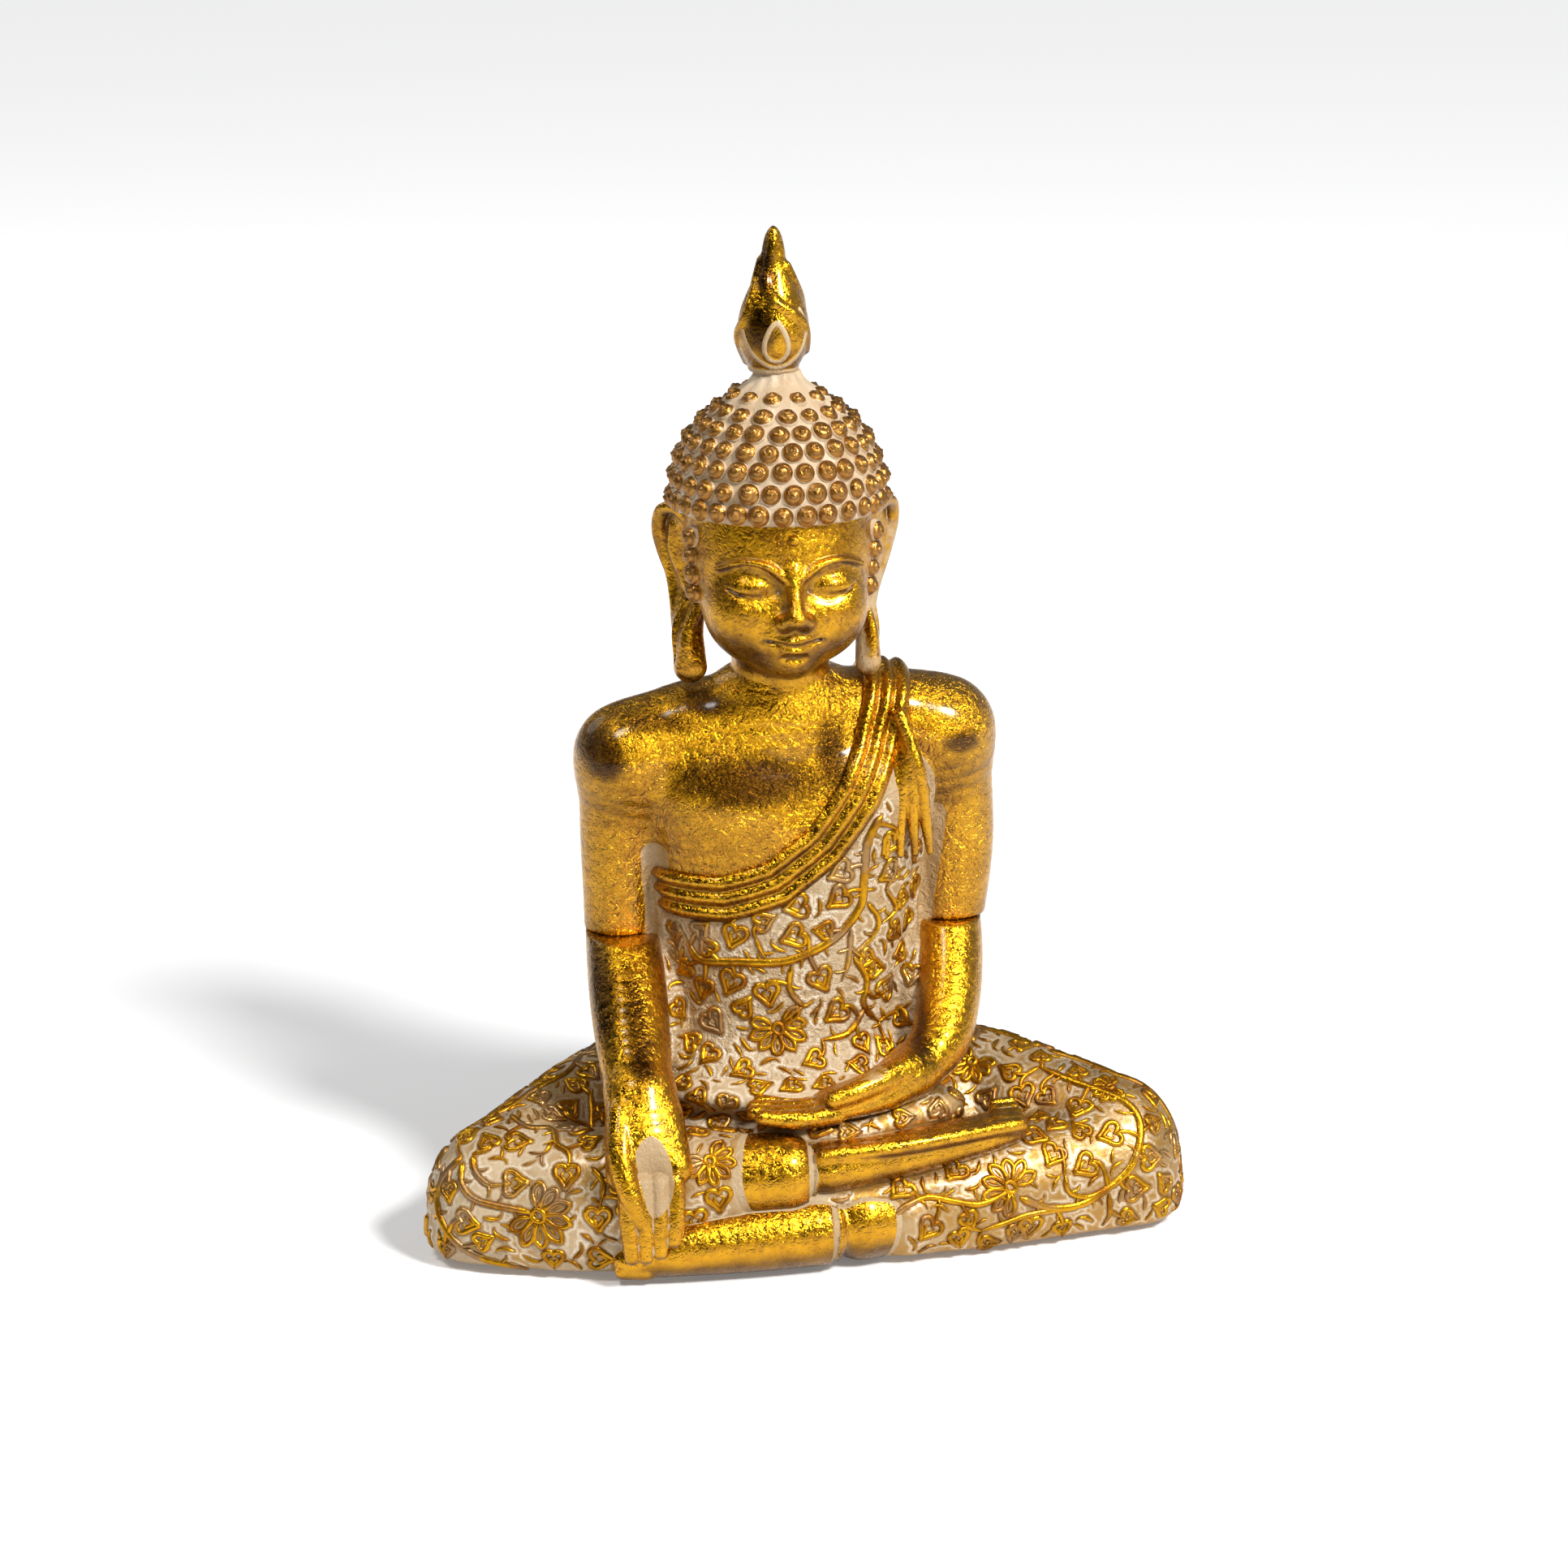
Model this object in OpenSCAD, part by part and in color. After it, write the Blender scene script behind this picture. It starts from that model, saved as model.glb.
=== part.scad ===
// Seated Buddha statue in resin, built up from separate castings.
// +Z is up, the figure faces -Y, and its own right-hand side is -X.
// The origin is the centre of the underside, on the surface that the statue stands on.

/* [Figure] */
// Height from the underside to the tip of the flame; every size below is for 300
total_h = 300; // [200:10:450]
// Width over both knees
knee_span = 232; // [226:1:238]
// Width over both shoulders
shoulder_w = 123; // [119:1:127]

/* [Castings] */
// Wall of the hollow castings
wall = 5; // [4:0.5:6]
// Height of the tenon that locates the torso on the seat
tenon_h = 10; // [6:1:14]
// Glue gap round a tenon or a dowel
glue_gap = 0.3; // [0.2:0.05:0.4]

/* [Hair] */
// Radius of the hair cap
cap_r = 30.5; // [29.5:0.1:31.5]
// Spacing of the curls along a row and between rows
curl_pitch = 6.9; // [6.6:0.1:7.6]
// Height of a curl above the cap
curl_h = 3.6; // [3:0.1:4.2]

/* [Flame] */
// Height of the flame above its collar
flame_h = 42; // [38:1:46]
// Largest radius of the flame
flame_r = 10.4; // [9:0.1:11.5]
// Diameter of the flame's brass pin
pin_d = 5; // [4:0.5:6]
// Length of the pin below the flame
pin_len = 14; // [10:1:16]
// Radial running clearance of the pin in its socket
pin_gap = 0.08; // [0.04:0.01:0.1]

/* [Base] */
// Thickness of the felt
felt_t = 1.5; // [1:0.5:2]
// Thickness of the closing board
board_t = 4; // [3:0.5:5]
// Diameter of the board's screws
screw_d = 3; // [2.5:0.5:3.5]

/* [Hidden] */

gold = "goldenrod";
cream = "wheat";

// Heights of the partings between the castings
seat_z = felt_t;
lap_z = 52;
elbow_z = 89;
neck_z = 166;
crown_z = 300 - flame_h;

// Centre of the head
head_x = -2.8;
head_y = -4;
head_z = 221.5;
cap_t = 3;
collar_r = 6.6;
collar_foot_r = 9.1;
collar_foot_z = 249;
curl_r = 2.85;
curl_sink = 0.8;

knee_shift = 2;  // the left knee reaches this much further out than the middle, the right one less
knee_x = knee_span / 2 - 20 - knee_shift;
left_knee_x = knee_x + 2 * knee_shift;
arm_x = shoulder_w / 2 - 15;
fine = 18; // facets of the large forms
small = 12; // facets of the robe's folds, palms and ears
tiny = 8; // facets of fingers and toes
far = 200; // longer than any part of the statue

// A row of a path is [x, y, z, radius along x, along y, along z]
function even(x, y, z, r) = [x, y, z, r, r, r];
function mirrored(path) = [for (p = path) [-p[0], p[1], p[2], p[3], p[4], p[5]]];

// A smooth curve through the rows of a path, with n steps between two rows
function between(a, b, c, d, t) =
    0.5 * (2 * b + (c - a) * t + (2 * a - 5 * b + 4 * c - d) * t * t + (3 * b - a - 3 * c + d) * t * t * t);
function smooth(p, n) = [
    for (i = [0 : len(p) - 2]) for (j = [0 : n - 1])
        between(p[max(i - 1, 0)], p[i], p[i + 1], p[min(i + 2, len(p) - 1)], j / n),
    p[len(p) - 1]
];

module blob(p, facets = fine) {
    translate([p[0], p[1], p[2]]) scale([p[3], p[4], p[5]]) sphere(r = 1, $fn = facets);
}

// A rounded limb through the rows of a path
module limb(path, n = 3, facets = fine) {
    q = smooth(path, n);
    for (i = [0 : len(q) - 2])
        hull() {
            blob(q[i], facets);
            blob(q[i + 1], facets);
        }
}

module above(z) {
    translate([-far, -far, z]) cube([2 * far, 2 * far, far]);
}

module below(z) {
    translate([-far, -far, z - far]) cube([2 * far, 2 * far, far]);
}

module sized() {
    scale(total_h / 300) children();
}

// ---- Crossed legs under the robe ----

function thigh(x) = [[34, 20, 24, 25, 25, 29], [62, 2, 21, 23.5, 23.5, 28.5], [x, -28, 16.5, 20, 20.5, 23.5]];
hips = [[-34, 18, 24, 24, 24, 29], [0, 16, 24, 24, 24, 29], [34, 18, 24, 24, 24, 29]];
upper_shin = [[-knee_x, -29, 16.5, 20, 20, 23.5], [-58, -43, 19.5, 18, 18, 22], [-20, -49, 27, 14, 14, 15]];
lower_shin = [[left_knee_x, -29, 16.5, 20, 20, 23.5], [60, -42, 15, 17, 17, 20], [28, -50, 12, 13, 13, 14]];
lap = [[-30, -8, 22, 23, 23, 29], [0, -16, 22, 30, 28, 30], [30, -8, 22, 23, 23, 29]];
pad = [[0, 2, 40, 37, 25, 12], [0, 0, lap_z, 37, 24, 3]];

module seat_form() {
    difference() {
        union() {
            limb(thigh(left_knee_x), 2);
            limb(mirrored(thigh(knee_x)), 2);
            limb(upper_shin, 2);
            limb(lower_shin, 2);
            limb(lap, 1);
            limb(hips, 1);
            limb(pad, 1);
        }
        below(seat_z);
        above(lap_z);
    }
}

function thinner(path, t) = [for (p = path) [p[0], p[1], p[2], p[3] - t, p[4] - t, p[5] - t]];

module seat_hollow() {
    intersection() {
        union() {
            limb(thinner(thigh(left_knee_x), wall), 1, small);
            limb(mirrored(thinner(thigh(knee_x), wall)), 1, small);
            limb(thinner(lap, wall), 1, small);
            limb(thinner(hips, wall), 1, small);
        }
        above(seat_z + board_t + 2);
    }
    translate([0, 0, seat_z + board_t - 1]) linear_extrude(12) board_outline(2.5);
}

// Outline of the board, inside the seat's rim
module board_outline(inset) {
    offset(delta = -inset) hull() for (side = [-1, 1]) {
        translate([side * (knee_x - 2), -26]) circle(r = 10, $fn = 40);
        translate([side * 34, 20]) circle(r = 12, $fn = 40);
        translate([side * 22, -18]) circle(r = 10, $fn = 40);
    }
}

// Screw bosses, which stand inside the hollow from the board up into its roof: x, y, height
boss_at = [[-72, -14, 37], [72, -14, 37], [-30, 18, 44], [30, 18, 44]];
boss_r = 5;

module at_bosses(z) {
    for (p = boss_at)
        translate([p[0], p[1], z]) children();
}

module bosses() {
    for (p = boss_at)
        translate([p[0], p[1], seat_z + board_t]) difference() {
            cylinder(r = boss_r, h = p[2], $fn = 16);
            translate([0, 0, -1]) cylinder(d = screw_d, h = 10, $fn = 16);
        }
}

module seat_casting() {
    color(cream) sized() union() {
        difference() {
            seat_form();
            seat_hollow();
            translate([0, 0, seat_z - 1]) linear_extrude(board_t + 1) board_outline(-0.2);
        }
        bosses();
        tenon();
    }
}

module tenon() {
    translate([0, 2, lap_z - 1]) scale([1, 0.55, 1]) cylinder(r = 24, h = tenon_h + 1, $fn = 40);
}

module base_board() {
    color("burlywood") sized() translate([0, 0, seat_z]) difference() {
        linear_extrude(board_t) board_outline(0);
        at_bosses(-1) cylinder(d = screw_d + 0.4, h = board_t + 2, $fn = 32);
        at_bosses(-1) cylinder(d = 2 * screw_d + 0.4, h = 3, $fn = 32);
    }
}

module base_screws() {
    head_h = 1.8;
    color("silver") sized() at_bosses(seat_z + 0.1)
        difference() {
            union() {
                cylinder(d = 2 * screw_d, h = head_h, $fn = 32);
                cylinder(d = screw_d - 0.2, h = board_t + 7, $fn = 32);
            }
            translate([-2.4, -0.4, -1]) cube([4.8, 0.8, 1.8]);
        }
}

module base_felt() {
    color("darkolivegreen") sized() linear_extrude(felt_t) board_outline(1);
}

// ---- Feet ----

lower_foot = [even(22, -53, 13, 11.5), [4, -57, 11.5, 11, 9.5, 9.5], [-24, -60, 10, 12, 7.5, 8.5],
    [-48, -60, 9, 10, 6.5, 7.5]];
upper_foot = [even(-8, -53, 30, 12), [6, -52, 31.5, 10, 9.5, 10], [32, -49, 33, 11, 8, 8],
    [54, -42, 35, 9, 7.5, 6]];

module left_foot_form() {
    limb(lower_foot, 2, small);
    for (i = [0 : 4])
        limb([even(-50, -63 + 1.2 * i, 4.6 + 2.6 * i, 2.8), even(-60 + i, -62 + 1.2 * i, 4.4 + 2.6 * i, 2.5)],
            1, tiny);
}

module right_foot_form() {
    limb(upper_foot, 2, small);
    for (i = [0 : 4])
        limb([even(56, -46 + 3.4 * i, 35.5 + 0.5 * i, 2.7), even(65 - i, -43 + 3.4 * i, 36 + 0.5 * i, 2.4)],
            1, tiny);
}

module left_foot() {
    color(gold) sized() difference() {
        left_foot_form();
        seat_form();
        below(seat_z);
    }
}

module right_foot() {
    color(gold) sized() difference() {
        right_foot_form();
        seat_form();
        left_foot_form();
    }
}

// ---- Torso with the upper arms ----

trunk = [[0, 0, lap_z + 4, 38, 25, 10], [0, -3, 76, 34, 21, 13], [0, -3, 100, 37, 22, 14],
    [0, -2, 124, 41, 23.5, 15], [0, 0, 142, 42, 20, 14], [-1, 0, 154, 30, 16, 10]];
shoulder = [[0, 0, 155, 26, 15, 11], [28, 1, 152.5, 15, 14.5, 13], [arm_x, 3, 144.5, 15, 15, 14.5]];
upper_arm = [even(arm_x, 3, 144.5, 15), [arm_x + 3.5, 4, 122, 11.5, 12, 12],
    [arm_x + 3, 4, 100, 10.3, 11, 11], [arm_x + 3, 4, elbow_z, 10.2, 11, 11]];
web = [[37, 6, 122, 5, 5, 6], [38, 7, 90, 6, 6, 6], [38, 8, lap_z + 4, 6, 6, 6]];

module torso_form() {
    limb(trunk, 2);
    for (side = [0, 1])
        mirror([side, 0, 0]) {
            difference() {
                limb(upper_arm, 2);
                below(elbow_z);
            }
            limb(shoulder, 2);
            limb(web, 1, small);
        }
    translate([-2, -2, 150]) cylinder(r1 = 20, r2 = 16, h = neck_z - 150, $fn = fine);
}

module torso_solid() {
    difference() {
        torso_form();
        below(lap_z);
        above(neck_z);
    }
}

// Hollow inside the trunk, open at the bottom over the seat's tenon
module torso_hollow() {
    limb([[0, 2, 62, 27, 14, 12], [0, 0, 90, 25, 14, 14], [0, 0, 126, 28, 13, 14]], 1, small);
    translate([0, 2, lap_z - 1]) scale([1, 0.56, 1])
        cylinder(r = 24 + glue_gap, h = tenon_h + 4, $fn = 40);
}

module torso_casting() {
    color(gold) sized() difference() {
        torso_solid();
        torso_hollow();
        dowel_hole();
        elbow_hole(elbow_pin_at);
        mirror([1, 0, 0]) elbow_hole(elbow_pin_at);
    }
}

// ---- Dowels inside the joints ----

dowel_r = 5;
dowel_top = neck_z + 12;
dowel_bottom = neck_z - 14;
elbow_pin_r = 3;
elbow_pin_len = 20;
elbow_pin_at = [arm_x + 3, 3, elbow_z];

module dowel_hole() {
    translate([-2, -2, dowel_bottom - glue_gap])
        cylinder(r = dowel_r + glue_gap, h = dowel_top - dowel_bottom + 2 * glue_gap, $fn = 32);
}

module elbow_hole(p) {
    translate([p[0], p[1], p[2] - elbow_pin_len / 2 - glue_gap])
        cylinder(r = elbow_pin_r + glue_gap, h = elbow_pin_len + 2 * glue_gap, $fn = 24);
}

module neck_dowel() {
    color("peru") sized() translate([-2, -2, dowel_bottom])
        cylinder(r = dowel_r, h = dowel_top - dowel_bottom, $fn = 48);
}

module elbow_pin() {
    translate(elbow_pin_at - [0, 0, elbow_pin_len / 2]) cylinder(r = elbow_pin_r, h = elbow_pin_len, $fn = 48);
}

module left_elbow_pin() {
    color("peru") sized() elbow_pin();
}

module right_elbow_pin() {
    color("peru") sized() mirror([1, 0, 0]) elbow_pin();
}

// ---- Robe pieces on the torso ----

// The sash goes once round: up the back, over the left shoulder and down the chest to the right side
sash_path = [[-38, 5, 104, 3, 4, 6], [-27, 16, 108, 6, 4, 6], [-9, 21.5, 119, 6, 4, 6], [10, 21.5, 133, 6, 4, 6],
    [24, 19, 148, 7, 4, 6], [30, 11, 162, 7, 5, 5], [28, -7, 163, 7, 5, 5], [26, -19, 151, 7, 5, 6],
    [19, -24, 136, 6, 4, 6], [9, -25, 120, 6, 4, 6], [-6, -25, 108, 6, 4, 6], [-22, -22, 103, 6, 4, 6],
    [-34, -11, 103, 4, 5, 6], [-38, -2, 104, 3, 4, 6]];

module sash_form() {
    limb(sash_path, 2, 10);
}

module shoulder_sash() {
    color(gold) sized() difference() {
        sash_form();
        torso_form();
    }
}

module shoulder_pleats() {
    color(gold) sized() difference() {
        for (i = [0 : 2])
            limb([[32, -14 + i, 153, 2.5, 3, 4], [29 + 3 * i, -19 + 2 * i, 138, 2.2, 3, 5],
                [27 + 5 * i, -20 + 3 * i, 122, 2, 2.8, 4]], 2, tiny);
        torso_form();
        sash_form();
    }
}

// ---- Forearms with the hands ----

right_arm_path = [[-arm_x - 3, 4, elbow_z, 10.6, 11, 11], [-arm_x - 3, -10, 80, 12, 11, 11],
    [-50.5, -28, 68, 11, 10, 10], [-50, -45, 54, 9, 8, 8]];
right_palm = [[-50, -46, 54, 9, 7.5, 7], [-50, -57, 42, 11.5, 6, 8], [-50.5, -64, 28, 11.5, 5, 6]];
left_arm_path = [[arm_x + 3, 4, elbow_z, 10.4, 11, 11], [arm_x + 4, -8, 78, 10.4, 10.5, 10.5],
    [46, -24, 62, 9, 9.5, 9.5], [31, -36, 51, 7, 8, 7]];
left_palm = [[31, -36, 51, 7, 8, 7], [20, -41, 49, 8, 9.5, 6], [9, -43, 48, 6, 9.5, 5]];

module right_hand_fingers() {
    for (i = [0 : 3])
        limb([even(-58.6 + 5.4 * i, -65.5, 26, 3.2), even(-57.6 + 4.8 * i, -67.5, 15, 2.9),
            even(-56.6 + 4.2 * i, -68, 8.5 + abs(i - 1.5), 2.4)], 1, tiny);
    limb([even(-57, -52, 48, 4.5), even(-61, -62, 36, 3.8), even(-56, -68, 24, 3)], 1, tiny);
}

module left_hand_fingers() {
    for (i = [0 : 3])
        limb([even(8, -50 + 4.6 * i, 48.5, 3), even(-5, -52 + 4.6 * i, 49, 2.8),
            even(-15 + abs(i - 1.5), -52.5 + 4.6 * i, 48.5, 2.4)], 1, tiny);
    limb([even(26, -44, 53, 4), even(14, -48, 54.5, 3.2), even(4, -48, 54, 2.6)], 1, tiny);
}

module forearm_trim() {
    torso_form();
    seat_form();
    above(elbow_z);
}

module right_forearm() {
    color(gold) sized() difference() {
        union() {
            limb(right_arm_path, 2);
            limb(right_palm, 2, small);
            right_hand_fingers();
        }
        forearm_trim();
        left_foot_form();
        mirror([1, 0, 0]) elbow_hole(elbow_pin_at);
    }
}

module left_forearm() {
    color(gold) sized() difference() {
        union() {
            limb(left_arm_path, 2);
            limb(left_palm, 2, small);
            left_hand_fingers();
        }
        forearm_trim();
        right_foot_form();
        elbow_hole(elbow_pin_at);
    }
}

// ---- Head ----

face = [[0, 0, 221, 27, 27, 27], [0, -4, 208, 26, 27.5, 18], [0, -6, 194, 24, 24, 14],
    [0, -13, 183, 17, 16, 9.5]];
neck = [[1.5, 2, neck_z, 16, 16, 4], [1, 1, 178, 15, 15, 8], [0, 4, 196, 22, 22, 12]];

module face_features() {
    limb([[0, -31.5, 205, 2, 2.4, 4], [0, -33, 198, 2.6, 3, 4], [0, -34, 193, 3.6, 3.4, 2.6]], 1, small);
    limb([[-6, -26.5, 183.6, 2, 2, 1.4], [0, -29, 183.6, 3, 2, 1.5], [6, -26.5, 183.6, 2, 2, 1.4]], 1, small);
    limb([[-5, -24, 176, 4, 3, 3], [0, -25.5, 176, 5, 3.4, 3.4], [5, -24, 176, 4, 3, 3]], 1, small);
    for (side = [-1, 1]) {
        limb([[side * 6, -30.5, 202, 3, 2.5, 2.4], [side * 15, -27, 202, 4, 2.5, 2]], 1, small);
        limb([[side * 5, -31, 208, 2, 1.6, 1.2], [side * 17, -26, 209, 3, 2, 1.2]], 1, small);
    }
}

module head_form() {
    translate([head_x, head_y, 0]) {
        limb(face, 2);
        limb(neck, 1);
        face_features();
    }
}

module head_casting() {
    color(gold) sized() difference() {
        head_form();
        below(neck_z);
        dowel_hole();
        pin_room();
        cap_room();
    }
}

// Room for the end of the flame's pin below the cap
module pin_room() {
    translate([head_x, head_y, crown_z - pin_len - 3]) cylinder(r = pin_d / 2 + 1, h = 20, $fn = 24);
}

// Space that the hair cap takes, outside the skull
module cap_room() {
    difference() {
        union() {
            above(rim_z - 0.1);
            translate([-far, head_y + back_y - 0.1, nape_z - 0.1]) cube(far * 2);
        }
        translate([head_x, head_y, head_z]) sphere(r = cap_r - cap_t - 0.1, $fn = 30);
    }
}

module urna_bead() {
    color(gold) sized() translate([head_x, head_y - 30.8, 214]) sphere(r = 1.6, $fn = 32);
}

ear = [[34, 4, 212.5, 2.6, 4.5, 5], [33.5, 4, 204, 2.6, 5, 5], [31, 3, 194, 2.6, 4.5, 5],
    [29, 0, 183, 2.6, 4, 5], [28.5, -3, 171, 2.8, 4.4, 5]];

module ear_form() {
    limb(ear, 2, small);
}

module ear_piece(side) {
    difference() {
        translate([head_x, head_y, 0]) mirror([side, 0, 0]) ear_form();
        head_form();
        torso_form();
        sash_form();
        cap_envelope();
    }
}

module right_ear() {
    color(gold) sized() ear_piece(1);
}

module left_ear() {
    color(gold) sized() ear_piece(0);
}

// ---- Hair ----

rim_z = 217.5; // lower edge of the hair over the forehead
nape_z = 193; // lower edge of the hair at the back
back_y = 10; // the cap comes down to the nape behind this line, from the head's centre

module cap_profile(r) {
    intersection() {
        circle(r = r, $fn = 96);
        translate([0, nape_z - head_z]) square([r, 2 * r]);
    }
}

module cap_envelope() {
    translate([head_x, head_y, head_z]) sphere(r = cap_r + 0.2, $fn = 40);
}

module hair_cap() {
    color(cream) sized() difference() {
        translate([head_x, head_y, head_z]) rotate_extrude($fn = 96) difference() {
            cap_profile(cap_r);
            circle(r = cap_r - cap_t, $fn = 96);
        }
        translate([head_x - far, head_y - far, rim_z - far]) cube([2 * far, far + back_y, far]);
        translate([head_x, head_y, head_z]) cylinder(r = pin_d / 2 + 1, h = far, $fn = 32);
        translate([head_x, head_y, collar_foot_z]) cylinder(r = collar_foot_r + 0.1, h = far, $fn = 64);
    }
}

// Flared collar that carries the flame's socket
module crown_collar() {
    color(cream) sized() translate([head_x, head_y, 0]) rotate_extrude($fn = 96)
        polygon([[pin_d / 2 + pin_gap, collar_foot_z], [collar_foot_r, collar_foot_z],
            [collar_foot_r, collar_foot_z + 2], [collar_foot_r - 1.5, collar_foot_z + 4.5],
            [collar_r, collar_foot_z + 7], [collar_r - 0.2, crown_z], [pin_d / 2 + pin_gap, crown_z]]);
}

// One curl, standing on the cap's surface and let into it
module curl() {
    steps = 4;
    rotate_extrude($fn = 24) polygon([
        [0, -curl_sink], [curl_r, -curl_sink], [curl_r, 0.4],
        for (i = [1 : steps - 1])
            let (a = 90 * i / steps)
                [curl_r * cos(a), 0.4 + (curl_h - 0.4) * sin(a)],
        [0, curl_h]
    ]);
}

// Curl on the cap at an angle down from the crown and an angle round from the front
module curl_at(down, round) {
    translate([head_x, head_y, head_z]) rotate([0, 0, round - 90]) rotate([0, down, 0])
        translate([0, 0, cap_r]) curl();
}

row_step = curl_pitch / cap_r * 180 / PI;
first_down = 91; // the row over the forehead

function row_down(row) = first_down - (row - 1) * row_step * 0.87;
function ring_count(down) = round(2 * PI * (cap_r + 1) * sin(down) / curl_pitch);

module curl_row(row) {
    n = ring_count(row_down(row));
    color(cream) sized() for (i = [0 : n - 1])
        curl_at(row_down(row), (i + (row % 2) / 2) * 360 / n);
}

// Rows behind the ears, down to the nape
module nape_curls() {
    color(cream) sized() for (row = [1 : 3])
        let (down = row_down(1 - row), n = 10 - row)
            for (i = [0 : n - 1])
                curl_at(down, 180 + (i - (n - 1) / 2) * 360 / ring_count(down));
}

// Short column of curls in front of each ear
module temple_curls() {
    color(cream) sized() for (side = [-1, 1]) for (i = [0 : 2])
        translate([head_x + side * (26.5 - 0.7 * i), head_y - 10 + i, 211.5 - 6.4 * i])
            sphere(r = 3, $fn = 24);
}

// ---- Flame ----

// Outline of the flame as [share of its largest radius, share of its height]
flame_outline = [[0.6, 0], [0.8, 0.08], [0.96, 0.19], [1, 0.3], [0.93, 0.41], [0.78, 0.52], [0.57, 0.63],
    [0.39, 0.74], [0.31, 0.85], [0.2, 0.95], [0.1, 0.99], [0, 1]];

module flame_finial() {
    color(gold) sized() translate([head_x, head_y, crown_z]) difference() {
        rotate_extrude($fn = 64)
            polygon([[0, 0], for (p = smooth(flame_outline, 2)) [flame_r * max(p[0], 0), flame_h * p[1]]]);
        translate([0, 0, -1]) cylinder(d = pin_d, h = 11, $fn = 48);
    }
}

module finial_pin() {
    color("khaki") sized() translate([head_x, head_y, crown_z - pin_len])
        cylinder(d = pin_d, h = pin_len + 10, $fn = 48);
}

base_felt();
base_board();
base_screws();
seat_casting();
left_foot();
right_foot();
torso_casting();
shoulder_sash();
shoulder_pleats();
right_forearm();
left_forearm();
right_elbow_pin();
left_elbow_pin();
neck_dowel();
head_casting();
urna_bead();
right_ear();
left_ear();
hair_cap();
crown_collar();
temple_curls();
curl_row(1);  // hair_curls_row_1
curl_row(2);  // hair_curls_row_2
curl_row(3);  // hair_curls_row_3
curl_row(4);  // hair_curls_row_4
curl_row(5);  // hair_curls_row_5
curl_row(6);  // hair_curls_row_6
curl_row(7);  // hair_curls_row_7
nape_curls();
flame_finial();
finial_pin();
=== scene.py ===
import math

import bpy
import numpy as np
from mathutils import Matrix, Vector
from mathutils.bvhtree import BVHTree
from mathutils.kdtree import KDTree


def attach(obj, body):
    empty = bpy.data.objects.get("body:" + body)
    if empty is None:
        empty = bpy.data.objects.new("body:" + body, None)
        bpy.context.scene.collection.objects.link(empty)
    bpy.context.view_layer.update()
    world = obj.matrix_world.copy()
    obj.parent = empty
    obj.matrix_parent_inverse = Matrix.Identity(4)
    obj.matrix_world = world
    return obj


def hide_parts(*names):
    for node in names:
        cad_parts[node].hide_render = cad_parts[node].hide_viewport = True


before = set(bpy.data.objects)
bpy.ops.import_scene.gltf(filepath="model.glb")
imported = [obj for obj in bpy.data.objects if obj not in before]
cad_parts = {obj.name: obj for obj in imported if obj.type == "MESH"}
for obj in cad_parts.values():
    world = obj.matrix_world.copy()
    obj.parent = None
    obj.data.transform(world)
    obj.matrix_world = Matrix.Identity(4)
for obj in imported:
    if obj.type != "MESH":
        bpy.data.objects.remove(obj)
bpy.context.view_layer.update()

# The looks of the seated Buddha statue. Shapes are worked out in millimetres in the CAD frame:
# +Z is up, the figure faces -Y, and its own right-hand side is -X.
MM = 0.001
rng = np.random.default_rng(7)

FLOOR_Z = 1.5  # underside of the castings, on top of the felt
BOARD_TOP = 5.6  # top of the recess for the base board
ELBOW_Z = 89
HEAD = np.array([-2.8, -4.0, 0.0])
DOME = np.array([-2.8, -4.0, 221.5])
CAP_R = 30.5
CROWN_Z = 258
FLAME_H = 41.6
FLAME_R = 10.4


VIEW_AZIMUTH = -9.4
VIEW_ELEVATION = 15.5


def facing(azimuth, elevation):
    """Unit vectors of a view: towards the viewer, to the right, and up."""
    a, e = math.radians(azimuth), math.radians(elevation)
    back = np.array([math.sin(a) * math.cos(e), -math.cos(a) * math.cos(e), math.sin(e)])
    right = np.array([math.cos(a), math.sin(a), 0])
    return back, right, np.cross(back, right)


BACK, ACROSS, RISE = facing(VIEW_AZIMUTH, VIEW_ELEVATION)


# ---- Distance functions: negative inside, in millimetres ----

def smooth_rows(rows, steps):
    """Catmull-Rom curve through rows of numbers."""
    rows = np.array(rows, float)
    ends = np.vstack([rows[:1], rows, rows[-1:]])
    out = []
    for i in range(len(rows) - 1):
        a, b, c, d = ends[i:i + 4]
        for t in np.arange(steps) / steps:
            out.append(0.5 * (2 * b + (c - a) * t + (2 * a - 5 * b + 4 * c - d) * t ** 2
                              + (3 * b - a - 3 * c + d) * t ** 3))
    out.append(rows[-1])
    return np.array(out)


def tube(rows, steps=5):
    """A limb through rows of x, y, z and one radius, or three."""
    rows = [list(r) + [r[3]] * (6 - len(r)) for r in rows]
    path = smooth_rows(rows, steps)
    path[:, 3:] = np.maximum(path[:, 3:], 0.05)
    low = (path[:, :3] - path[:, 3:]).min(axis=0)
    high = (path[:, :3] + path[:, 3:]).max(axis=0)

    def distance(p):
        outside = np.linalg.norm(np.maximum(np.maximum(low - p, p - high), 0), axis=1)
        best = outside + 6.0
        near = outside < 14
        q = p[near]
        found = np.full(len(q), 1e3)
        for a, b in zip(path, path[1:]):
            along = b[:3] - a[:3]
            t = np.clip(((q - a[:3]) @ along) / max(along @ along, 1e-9), 0, 1)[:, None]
            off = q - (a[:3] + t * along)
            length = np.sqrt((off ** 2).sum(axis=1))
            reach = np.sqrt(((off / (a[3:] + t * (b[3:] - a[3:]))) ** 2).sum(axis=1))
            found = np.minimum(found, length - length / np.maximum(reach, 1e-6))
        best[near] = found
        return best
    return distance


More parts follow.
